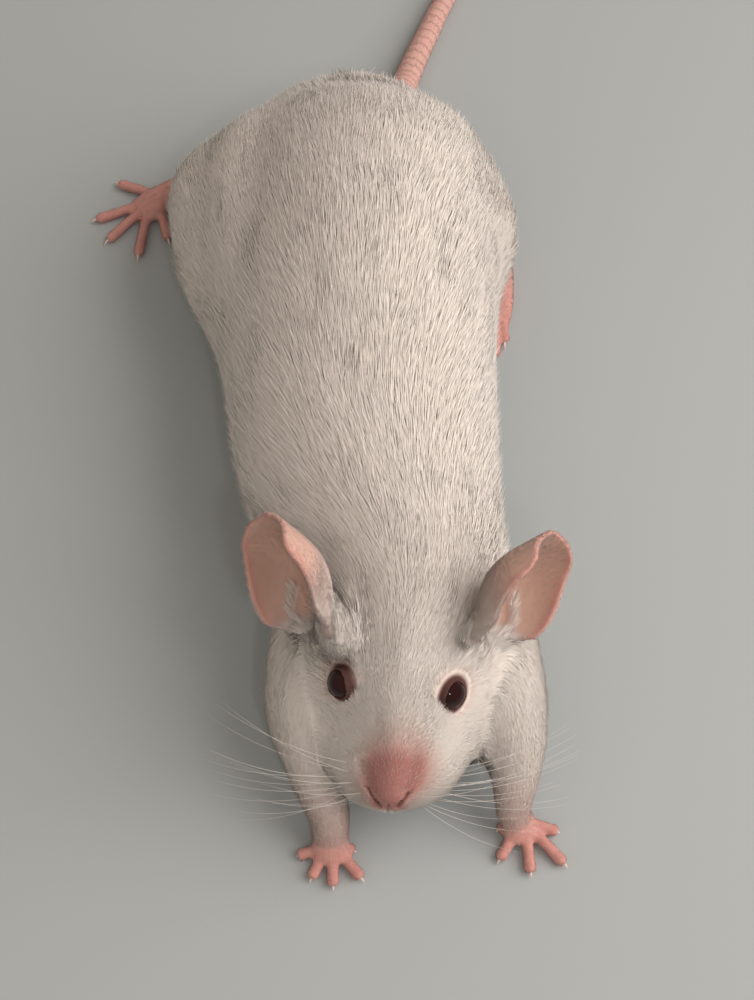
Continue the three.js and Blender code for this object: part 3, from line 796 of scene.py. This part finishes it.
def build_skin(material):
    """Closed tubes for every part, joined on one fine grid, smoothed, thinned and given their fine forms."""
    ys = BODY[0, 0] + (BODY[-1, 0] - BODY[0, 0]) * np.linspace(0, 1, 150) ** 1.15
    trunk = inward(body_surface(ys, circle(120)), read_off(COAT, ys)[:, :1, None])
    ends = trunk[[0, -1]]
    trunk[[0, -1]] = ends.mean(1, keepdims=True) + (ends - ends.mean(1, keepdims=True)) * 0.8
    grids = [trunk]
    for line, table, count, sides in LIMBS:
        sunk = read_off(table, np.linspace(0, 1, count))[:, 0]
        grids.append(limb_surface(line, count, sides, sunk))
    grids += [ear_surface(ear, 60, 48, EAR_THICKNESS) for ear in EARS]
    skin = add_object("skin", shells_mesh(grids))
    joined = skin.modifiers.new("one skin", "REMESH")
    joined.mode = "VOXEL"
    joined.voxel_size = GRAIN * MM
    soft = skin.modifiers.new("soft joins", "SMOOTH")
    soft.factor = 0.5
    soft.iterations = 5
    mesh = applied(skin)
    thin = skin.modifiers.new("thinned", "DECIMATE")
    thin.ratio = min(1, SKIN_FACES / (2 * len(mesh.polygons)))
    mesh = applied(skin)
    set_points(mesh, settled(points_of(mesh), triangles_of(mesh)))
    refine_face(mesh)
    points = points_of(mesh)
    triangles = triangles_of(mesh)
    normals = normals_at(points, triangles)
    points = eye_forms(points)
    points = points - normals * nose_forms(points)[:, None]
    points = ear_forms(points, normals)
    points[:, 2] = np.maximum(points[:, 2], 0.02)
    set_points(mesh, points)
    dress(mesh, material)
    return skin, points, triangles


def settled(points, triangles):
    """Fills the creases between coated parts: each point moves halfway to the mean of its neighbours, again
    and again, as far as it is coated, and never in under where it started."""
    start, normals = points, normals_at(points, triangles)
    fields = coat_fields(points)
    coated = (0.5 * (1 - smooth(0, 0.5, fields["bare"])) * smooth(-34, -28, points[:, 1]))[:, None]
    starts = np.concatenate([triangles[:, i] for i in (0, 1, 2)])
    ends = np.concatenate([triangles[:, i] for i in (1, 2, 0)])
    count = np.bincount(starts, minlength=len(points))[:, None]
    for _ in range(CREASE_PASSES):
        around = [np.bincount(starts, points[ends, axis], len(points)) for axis in range(3)]
        points = points + (np.stack(around, 1) / count - points) * coated
        points = points + normals * np.maximum(-dot(points - start, normals), 0)
    return points


def refine_face(mesh):
    """Parts the edges of the faces round the eyes and the nose in three."""
    points = points_of(mesh)
    near = np.zeros(len(points), bool)
    for spot in [*EYES.values(), NOSE_TIP]:
        near |= ((points - spot) ** 2).sum(1) < FINE_REACH**2
    shape = bmesh.new()
    shape.from_mesh(mesh)
    shape.verts.ensure_lookup_table()
    edges = [e for e in shape.edges if near[e.verts[0].index] and near[e.verts[1].index]]
    bmesh.ops.subdivide_edges(shape, edges=edges, cuts=2, use_grid_fill=True)
    bmesh.ops.triangulate(shape, faces=shape.faces[:])
    shape.to_mesh(mesh)
    shape.free()


def set_attribute(mesh, name, values, domain="POINT"):
    """A named number, vector or yes and no on every vertex, corner or edge."""
    kind = "BOOLEAN" if values.dtype == bool else "FLOAT" if values.ndim == 1 else "FLOAT_VECTOR"
    layer = mesh.attributes.new(name, kind, domain)
    values = values if values.dtype == bool else values.astype(np.float32)
    layer.data.foreach_set("value" if values.ndim == 1 else "vector", values.ravel())


# ---------------------------------------------------------------- the coat
def coat_roots(points, triangles, fields, rng):
    """Roots spread over the skin: each face gets its share of tufts, by area and by how much coat grows
    there, taken at even steps of the running total."""
    corner = points[triangles]
    area = np.linalg.norm(np.cross(corner[:, 1] - corner[:, 0], corner[:, 2] - corner[:, 0]), axis=1) / 2
    length, width, bare = (fields[name][triangles].mean(1) for name in ("length", "width", "bare"))
    cover = (1 - 0.97 * smooth(0, 1, bare)) / (length * width)
    cover *= 1 - smooth(0.5, 0.95, lid_mask(corner.mean(1)))
    cover *= corner.mean(1)[:, 2] > LOWEST_ROOT
    total = np.cumsum(area * cover)
    picks = (np.arange(TUFTS) + rng.random(TUFTS)) / TUFTS * total[-1]
    chosen = np.minimum(np.searchsorted(total, picks), len(triangles) - 1)
    a, b = rng.random((2, TUFTS, 1))
    over = a + b > 1
    a, b = np.where(over, 1 - a, a), np.where(over, 1 - b, b)
    return chosen, np.concatenate([1 - a - b, a, b], 1)


def curl_along(points, triangles, normals, lie):
    """How fast the skin's normal tips forward along the lie, per millimetre: worked out in each face, then
    evened out over the neighbouring vertices."""
    p, n, way = points[triangles], normals[triangles], unit(lie[triangles].mean(1))
    u, v = p[:, 1] - p[:, 0], p[:, 2] - p[:, 0]
    uu, uv, vv = dot(u, u), dot(u, v), dot(v, v)
    du, dv = dot(way, u), dot(way, v)
    span = np.maximum(uu * vv - uv * uv, 1e-12)
    a, b = (vv * du - uv * dv) / span, (uu * dv - uv * du) / span
    curl = np.clip(dot(a * (n[:, 1] - n[:, 0]) + b * (n[:, 2] - n[:, 0]), way)[:, 0], *CURL_RANGE)
    corners, count = triangles.ravel(), np.bincount(triangles.ravel(), minlength=len(points))
    for _ in range(CURL_PASSES):
        evened = np.bincount(corners, np.repeat(curl, 3), len(points)) / np.maximum(count, 1)
        curl = evened[triangles].mean(1)
    return evened


class Ground:
    """The skin as a field: its vertices' places and normals summed on a grid of cells, each vertex shared
    among the eight cells round it, so that the nearest skin can be looked up for many points at once."""

    def __init__(self, points, normals):
        self.low = points.min(0) - 3 * GROUND_CELL
        self.size = np.ceil((points.max(0) - self.low) / GROUND_CELL).astype(int) + 4
        values = np.column_stack([points, normals, np.ones(len(points))])
        self.sums = np.zeros((self.size.prod(), values.shape[1]))
        for index, weight in self.shares(points):
            for column in range(values.shape[1]):
                self.sums[:, column] += np.bincount(index, values[:, column] * weight, len(self.sums))

    def shares(self, points):
        """The eight cells round each point and the point's share in each."""
        place = np.clip((points - self.low) / GROUND_CELL, 0, self.size - 2.001)
        base = np.floor(place).astype(int)
        part = place - base
        for corner in np.ndindex(2, 2, 2):
            weight = np.prod(np.where(corner, part, 1 - part), axis=1)
            yield np.ravel_multi_index((base + corner).T, self.size), weight

    def under(self, points):
        """Height of each point over the skin, the skin's normal there, and whether any skin is near."""
        total = sum(self.sums[index] * weight[:, None] for index, weight in self.shares(points))
        near = total[:, 6:] > 0.02
        middle = total[:, :3] / np.maximum(total[:, 6:], 0.02)
        normal = unit(total[:, 3:6])
        return dot(points - middle, normal), normal, near


def laid(ground, points, normal, height, hug):
    """Points moved to the wanted height over the skin, as far as hug says, with the skin's normals there."""
    for _ in range(2):
        now, there, near = ground.under(points)
        share = hug * near
        points = points - there * (now - height) * share
    return points, unit(normal * (1 - share) + there * share)


def tufts(root, normal, lie, size, swing, curl, ground):
    """Each tuft is a flat spindle of four faces: a point under the skin, two corners nearly halfway along and
    a tip. It bends with the skin and lies at the depth of the coat. Returns its corners and upper normals."""
    length, width, height, hug = size
    side = unit(np.cross(normal, lie))

    def station(share, rise):
        far = length * share
        spot = root + lie * far + side * swing * far * share + normal * (height * rise - curl * far**2 / 2)
        return laid(ground, spot, normal, height * rise, hug)

    (middle, normal_there), (tip, tip_normal) = station(0.42, 0.4), station(1.0, 1.0)
    half = side * width / 2
    shapes = np.stack([root - normal * ROOT_SUNK, middle - half, middle + half, tip], 1)
    return shapes, np.stack([normal, normal_there - side * 0.3, normal_there + side * 0.3, tip_normal], 1)


def corner_normals(upper, normal, lie, tilt, fine):
    """Normals at the corners of a tuft's faces: the upper ones tilted a little from tuft to tuft, and the
    lower ones down and back, but for the fine hair of the ears, which is as light below as above."""
    lower = unit((1.45 * fine - 0.45) * normal - 0.9 * (1 - fine) * lie)
    rows = [unit(upper[:, k] + tilt) for k in TUFT_FACES[:2].ravel()] + [lower] * 6
    return np.stack(rows, 1)


TUFT_FACES = np.array([[0, 1, 2], [1, 3, 2], [0, 3, 1], [0, 2, 3]])
FOLDS = 3  # sum of the corner numbers of the two edges in the middle of the upper and of the lower side
TUFT_PATCH = np.array([[0.5, 0], [0, 0.45], [1, 0.45], [0.5, 1]]) * 0.003  # its patch of the unwrap
ROOT_SUNK = 0.12
COAT_PIECES = ["coat_" + part for part in "face brow nape shoulders ribs belly hips rump".split()]


def build_coat(points, triangles, fields, material):
    """Tufts over the whole skin, parted into pieces from nose to tail. Streaks of noise drawn out along the
    lie swing neighbouring tips together and lift some locks above others."""
    rng = np.random.default_rng(SEED)
    normals = normals_at(points, triangles)
    chosen, share = coat_roots(points, triangles, fields, rng)
    corner = triangles[chosen]

    def mix(values):
        return (values[corner] * share[..., None]).sum(1)

    def one(name):
        return mix(fields[name][:, None])

    root, normal = mix(points), unit(mix(normals))
    lie = mix(fields["lie"])
    for centre in EYES.values():
        away = root - centre
        gap = np.linalg.norm(away, axis=1, keepdims=True)
        lie = lie + 1.6 * unit(away) * np.exp(-np.maximum(gap - EYE_RADIUS, 0) / 0.8)
    lie = unit(lie - normal * dot(lie, normal))
    comb = fields["comb"][corner[:, 0]]
    streak, fine = comb * (0.16, 1.3, 7.3), comb * (0.45, 3.2, 7.3)
    swing = 0.13 * noise(streak, 1) + 0.07 * noise(fine, 2) + rng.normal(0, 0.03, len(root))
    lift = 1 + 0.1 * noise(streak * 1.7, 3) + rng.normal(0, 0.05, len(root))
    lift += 0.9 * (rng.random(len(root)) < STRAY)
    length = one("length") * rng.uniform(0.75, 1.2, (len(root), 1))
    width = one("width") * rng.uniform(0.75, 1.25, (len(root), 1))
    height = one("depth") * lift[:, None] + 0.05
    curl = mix(curl_along(points, triangles, normals, fields["lie"])[:, None])
    curl = np.clip(curl * 1.2, -0.03, 0.4)
    length = np.minimum(length, 0.45 / np.maximum(curl, 0.01))
    away_from_ear = fields["tint"][:, 0] < 0.3
    ground = Ground(points[away_from_ear], normals[away_from_ear])
    hug = smooth(0.7, 1.3, length) * (mix(fields["tint"][:, :1]) < 0.1)
    size = (length, width, height, hug)
    shapes, upper = tufts(root, normal, lie, size, swing[:, None], curl, ground)
    tilt = np.cross(normal, lie) * (0.07 * noise(fine, 4) + rng.normal(0, 0.05, len(root)))[:, None]
    on_ear = smooth(0, 0.2, mix(fields["tint"][:, :1]))
    shading = corner_normals(upper, normal, lie, tilt + rng.normal(0, 0.03, root.shape), on_ear)
    pink = np.repeat(one("bare"), 4)
    shapes[:, :, 2] = np.maximum(shapes[:, :, 2], 0.05)
    place = fields["uv"][corner[:, 0]]
    order = np.argsort(root[:, 1], kind="stable")
    pieces = []
    for name, rows in zip(COAT_PIECES, np.array_split(order, len(COAT_PIECES))):
        faces = (np.arange(len(rows))[:, None, None] * 4 + TUFT_FACES).reshape(-1, 3)
        uv = (place[rows][:, None] + TUFT_PATCH)[:, TUFT_FACES.ravel()]
        piece = mesh_piece(name, shapes[rows].reshape(-1, 3), faces, material, uv)
        ends = np.zeros(len(piece.data.edges) * 2, np.int32)
        piece.data.edges.foreach_get("vertices", ends)
        set_attribute(piece.data, "sharp_edge", (ends.reshape(-1, 2) % 4).sum(1) != FOLDS, "EDGE")
        set_attribute(piece.data, "custom_normal", shading[rows].reshape(-1, 3), "CORNER")
        set_attribute(piece.data, "pink", pink.reshape(-1, 4)[rows].ravel())
        pieces.append(piece)
    return pieces


# ---------------------------------------------------------------- eyes, claws and whiskers
EYE_RINGS, EYE_SIDES = 41, 64


def eye_piece(side, material):
    """A ball whose front bulges a little, as the clear dome over the iris does."""
    out = unit(np.array([-1 if side == "right" else 1, -0.35, 0.35]))
    v, u = np.meshgrid(np.linspace(0, np.pi, EYE_RINGS), circle(EYE_SIDES), indexing="ij")
    ball = np.stack([np.sin(v) * np.cos(u), np.sin(v) * np.sin(u), np.cos(v)], -1)
    bulge = 1 + 0.04 * smooth(0.6, 1, ball @ out)
    grid = EYES[side] + ball * bulge[..., None] * EYE_RADIUS
    return mesh_piece("eyeball_" + side, grid.reshape(-1, 3), quads(EYE_RINGS, EYE_SIDES, 0), material)


def tube(points, radii, sides):
    """A round tube along points whose radius follows radii: a ring across the line at each point."""
    ahead = unit(np.gradient(points, axis=0))
    side = unit(np.cross(ahead, (0.13, 0.21, 0.97)))
    up = np.cross(side, ahead)
    angle = circle(sides)[:, None]
    ring = side[:, None] * np.cos(angle) + up[:, None] * np.sin(angle)
    return points[:, None] + ring * radii[:, None, None]


def joined_tubes(name, grids, material):
    """One piece of many closed tubes."""
    mesh = shells_mesh(grids)
    dress(mesh, material)
    return add_object(name, mesh)


def claw_grids():
    """A claw beyond each digit's tip: a cone that bends down, by the square of its length."""
    grids = []
    t = np.linspace(0, 1, 7)
    for n, (_, thickness, digits) in enumerate(FEET):
        for k, digit in enumerate(digits):
            root, tip = np.array(digit[:2]), np.array(digit[2:])
            ahead = unit(tip - root)
            reach = (0.6 if n < 2 else 0.9) * (0.6 if n < 2 and k in (0, 4) else 1)
            plan = tip - ahead * 0.35 + ahead * (0.25 + reach * t[:, None])
            height = 0.85 * thickness - 0.55 * t**2 * reach
            grids.append(tube(np.column_stack([plan, height]), 0.17 * (1 - t) ** 0.8 + 0.02, 8))
    return grids


def whisker_grids():
    """Whiskers in rows on each pad and one above each eye: each leaves sideways and bends by t squared."""
    rng = np.random.default_rng(SEED + 1)
    t = np.linspace(0, 1, 15)[:, None]
    grids = []
    for side in (-1, 1):
        rows = [(y, a, 0) for a in (-0.35, -0.05, 0.25, 0.55) for y in (-36.1, -35.1, -34.1, -33.2)]
        rows += [(-24.6, 0.95, 1)]
        for y, a, brow in rows:
            angle = a if side > 0 else np.pi - a
            root = body_surface(np.array([y]), np.array([angle]))[0, 0]
            back = (y + 36.5) / 3.5
            way = unit(np.array([side * 1.0, -0.35 + 0.45 * back, 0.55 * a - 0.05]) + rng.normal(0, 0.13, 3))
            length = (12 + 9 * min(back, 1)) * rng.uniform(0.8, 1.1) * (0.7 if brow else 1)
            length = min(length, WHISKER_REACH / abs(way[0]))
            bend = np.array([0, 0.3, -0.12]) * length
            line = root + way * length * t + bend * t**2
            line[:, 2] = np.maximum(line[:, 2], 0.3)
            grids.append(tube(line, 0.017 * (1 - t[:, 0]) ** 0.7 + 0.004, 5))
    return grids


# ---------------------------------------------------------------- finishes
class Shade:
    """A value in a shader: sums, differences and products of it add Math nodes."""

    def __init__(self, finish, socket):
        self.finish, self.socket = finish, socket

    def _math(self, operation, first, second=0.0, clamp=False):
        settings = {"operation": operation, "use_clamp": clamp}
        return self.finish.node("ShaderNodeMath", settings, {0: first, 1: second})

    def __add__(self, other):
        return self._math("ADD", self, other)

    def __sub__(self, other):
        return self._math("SUBTRACT", self, other)

    def __rsub__(self, other):
        return self._math("SUBTRACT", other, self)

    def __mul__(self, other):
        return self._math("MULTIPLY", self, other)

    def sine(self):
        return self._math("SINE", self)

    def clamped(self):
        return self._math("ADD", self, 0.0, clamp=True)


class Finish:
    """A material whose Principled shader takes values, colours and links by name."""

    def __init__(self, name, **constants):
        self.material = bpy.data.materials.new(name)
        self.material.use_nodes = True
        self.tree = self.material.node_tree
        self.tree.nodes.clear()
        self.shader = self.tree.nodes.new("ShaderNodeBsdfPrincipled")
        output = self.tree.nodes.new("ShaderNodeOutputMaterial")
        self.tree.links.new(self.shader.outputs[0], output.inputs[0])
        for key, value in constants.items():
            self.shader.inputs[key.replace("_", " ").title().replace("Ior", "IOR")].default_value = value

    def node(self, kind, settings=None, inputs=None, out=0):
        """Adds a node of a kind, sets its settings and then its sockets, and returns one of its outputs."""
        made = self.tree.nodes.new(kind)
        for key, value in (settings or {}).items():
            setattr(made, key, value)
        for key, value in (inputs or {}).items():
            self.feed(made.inputs[key], value)
        return Shade(self, made.outputs[out])

    def feed(self, socket, value):
        if isinstance(value, Shade):
            self.tree.links.new(value.socket, socket)
        else:
            socket.default_value = value

    def set(self, name, value):
        self.feed(self.shader.inputs[name], value)

    def attribute(self, name, out="Fac"):
        return self.node("ShaderNodeAttribute", {"attribute_name": name}, out=out)

    def place(self, scale):
        """Object coordinates scaled to repeats per metre."""
        spot = self.node("ShaderNodeTexCoord", out="Object")
        return self.node("ShaderNodeMapping", inputs={"Vector": spot, "Scale": scale})

    def clouds(self, vector, size, detail=3.0, rough=0.55):
        """Noise from 0 to 1."""
        inputs = {"Vector": vector, "Scale": size, "Detail": detail, "Roughness": rough}
        return self.node("ShaderNodeTexNoise", inputs=inputs)

    def blend(self, share, first, second):
        """A colour from first to second."""
        inputs = {0: share, 6: first, 7: second}
        return self.node("ShaderNodeMix", {"data_type": "RGBA"}, inputs, out=2)

    def mottled(self, per_metre, first, second, low=0.0, gain=1.0, detail=3.0):
        """A colour that goes from first to second in clouds, with more of the second for a greater gain."""
        share = (self.clouds(self.place((1, 1, 1)), per_metre, detail) - low) * gain
        return self.blend(share.clamped(), first, second)

    def bump(self, height, distance):
        return self.node("ShaderNodeBump", inputs={"Height": height, "Distance": distance, "Strength": 1.0})


WHITE_COAT = (0.88, 0.82, 0.76, 1)
CREAM_COAT = (0.85, 0.77, 0.69, 1)
BRIGHT_COAT = (0.97, 0.95, 0.93, 1)
PINK_SKIN = (0.66, 0.32, 0.28, 1)
FLUSHED_SKIN = (0.5, 0.19, 0.17, 1)
EAR_TONE = (0.68, 0.45, 0.36, 1)
NOSE_TONE = (0.35, 0.15, 0.135, 1)
# Near black: dark lid skin deepened by painted shade round the eye sockets, and painted shade inside the
# nostrils.
LID_AND_NOSTRIL_SHADE_TONE = (0.03, 0.01, 0.009, 1)
TAIL_TONE = (0.76, 0.52, 0.46, 1)
PINK_HAIR = (0.68, 0.42, 0.37, 1)
TAIL_RING = 0.85  # mm from ring to ring of scales


def markings(finish):
    """The coat's colour: white with faint clouds of cream, the same on skin and tufts."""
    return finish.mottled(60.0, WHITE_COAT, CREAM_COAT, 0.4, 0.9, 2.0)


def skin_finish():
    """Coat tone under the tufts; pink, creased skin where it is bare, with near-black painted shade on the
    lids and in the nostrils; ringed scales along the tail.
    """
    skin = Finish("mouse_skin", roughness=0.55, subsurface_weight=0.12, subsurface_scale=0.0008)
    skin.shader.inputs["Subsurface Radius"].default_value = (1.0, 0.35, 0.2)
    bare, tail, tint = skin.attribute("bare"), skin.attribute("tail"), skin.attribute("tint", "Vector")
    pink = skin.mottled(900.0, PINK_SKIN, FLUSHED_SKIN, 0.35, 1.2)
    share = [skin.node("ShaderNodeSeparateXYZ", inputs={0: tint}, out=axis) for axis in range(3)]
    # Ear tone, weaker along the rims as a painted rim light; nose tone; and the near-black painted shade of
    # lids and nostrils.
    for part, tone in zip(share, (EAR_TONE, NOSE_TONE, LID_AND_NOSTRIL_SHADE_TONE)):
        pink = skin.blend(part * 0.9, pink, tone)
    pink = skin.blend(tail * 0.5, pink, TAIL_TONE)
    skin.set("Base Color", skin.blend(bare, markings(skin), pink))
    comb = skin.attribute("comb", "Vector")
    combed = skin.node("ShaderNodeMapping", inputs={"Vector": comb, "Scale": (0.35, 3.0, 1)})
    off_ear = (1 - share[0] * 3).clamped()
    locks = skin.clouds(combed, 1.0, 4.0) * (1 - bare) * off_ear
    creases = skin.clouds(skin.place((1, 1, 1)), 2600.0, 4.0, 0.65) * bare * off_ear
    ring = skin.node("ShaderNodeSeparateXYZ", inputs={0: comb}) * (2 * np.pi / TAIL_RING)
    skin.set("Normal", skin.bump(locks * 1.4 + creases * 0.15 + ring.sine() * tail * 0.22, 0.0002))
    return skin.material


def coat_finish():
    """Soft hair: the coat's colour, a shade lighter or darker from lock to lock."""
    coat = Finish("coat", roughness=0.5, sheen_weight=0.25, sheen_roughness=0.4)
    locks = coat.clouds(coat.place((1, 0.35, 1)), 2200.0, 2.0)
    tone = coat.blend((locks * 0.35).clamped(), markings(coat), BRIGHT_COAT)
    coat.set("Base Color", coat.blend(coat.attribute("pink") * 0.8, tone, PINK_HAIR))
    return coat.material


def plain_finish(name, per_metre, first, second, gain=1.0, **constants):
    """One finish all over, mottled from a first to a second colour."""
    finish = Finish(name, **constants)
    finish.set("Base Color", finish.mottled(per_metre, first, second, gain=gain))
    return finish.material


def eye_finish():
    """Wet, very dark ruby."""
    wet = {"roughness": 0.06, "ior": 1.36, "coat_weight": 0.2, "coat_roughness": 0.02}
    return plain_finish("eye", 700.0, (0.008, 0.001, 0.0015, 1), (0.035, 0.003, 0.005, 1), 0.8, **wet)


def horn_finish():
    """Clear pale horn, pinker in clouds."""
    clear = {"roughness": 0.3, "subsurface_weight": 0.2, "subsurface_scale": 0.0004}
    return plain_finish("claw_horn", 1500.0, (0.86, 0.74, 0.68, 1), (0.8, 0.6, 0.54, 1), **clear)


def whisker_finish():
    """Stiff white hair with a slight gloss."""
    return plain_finish("whisker", 500.0, (0.95, 0.93, 0.9, 1), (0.85, 0.82, 0.78, 1), roughness=0.3)


def floor_finish():
    """Plain pale board."""
    return plain_finish("pale_floor", 3.0, (0.42, 0.46, 0.47, 1), (0.44, 0.48, 0.49, 1), roughness=0.8)


# ---------------------------------------------------------------- the stage
FLOOR_REACH = 900


def add_light(name, spot, target, size, watts, color):
    """A square soft light at a layout point, aimed at another."""
    data = bpy.data.lights.new(name, "AREA")
    data.shape = "SQUARE"
    data.size = size
    data.energy = watts
    data.color = color
    lamp = add_object(name, data)
    lamp.location = in_frame(np.array(spot))
    aim = Vector((np.array(target) - np.array(spot)).tolist())
    lamp.rotation_euler = aim.to_track_quat("-Z", "Y").to_euler()
    return lamp


def build_stage():
    """The floor, a key light from the mouse's left, a weak fill, a glint for the eyes, and the camera."""
    corners = np.array([[-1, -1, 0], [1, -1, 0], [1, 1, 0], [-1, 1, 0]]) * FLOOR_REACH
    mesh_piece("floor", corners, [[0, 1, 2, 3]], floor_finish())
    key = add_light("key", (310, -10, 280), (0, 20, 10), 0.42, 1.9, (1.0, 0.92, 0.87))
    fill = add_light("fill", (-200, -200, 260), (0, 0, 10), 0.4, 0.12, (1.0, 0.9, 0.8))
    key.visible_glossy = fill.visible_glossy = False
    add_light("glint", (30, -160, 230), (4, -26, 17), 0.014, 0.045, (1.0, 1.0, 1.0))
    world = bpy.data.worlds.new("studio")
    world.use_nodes = True
    sky = world.node_tree.nodes["Background"]
    sky.inputs["Color"].default_value = (1.0, 0.87, 0.76, 1)
    sky.inputs["Strength"].default_value = 0.36
    bpy.context.scene.world = world
    bpy.context.scene.view_settings.view_transform = "Standard"
    lens = bpy.data.cameras.new("camera")
    lens.lens = 63
    lens.sensor_width = 36
    lens.clip_start = 0.01
    camera = add_object("camera", lens)
    camera.location = in_frame(np.array([0, -101.5, 187.8]))
    camera.rotation_euler = (np.radians(30), 0, 0)
    bpy.context.scene.camera = camera


# ---------------------------------------------------------------- the whole mouse
def main():
    """Skin, coat, eyes, claws and whiskers, all on the one body, and the stage round them."""
    skin, points, triangles = build_skin(skin_finish())
    fields = coat_fields(points)
    for name in ("bare", "tint", "comb"):
        set_attribute(skin.data, name, fields[name])
    set_attribute(skin.data, "tail", (fields["owner"] == TAIL_OWNER) * fields["bare"])
    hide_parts(*[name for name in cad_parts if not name.startswith("eye")])
    pieces = [(piece, "coat") for piece in build_coat(points, triangles, fields, coat_finish())]
    eye = eye_finish()
    for side in EYES:
        ball = eye_piece(side, eye)
        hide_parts("eye_" + side)
        pieces.append((ball, "eye"))
    pieces.append((joined_tubes("claws", claw_grids(), horn_finish()), "bare_skin"))
    pieces.append((joined_tubes("whiskers", whisker_grids(), whisker_finish()), "coat"))
    for piece in [skin] + [piece for piece, _ in pieces]:
        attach(piece, "root")
    build_stage()


main()
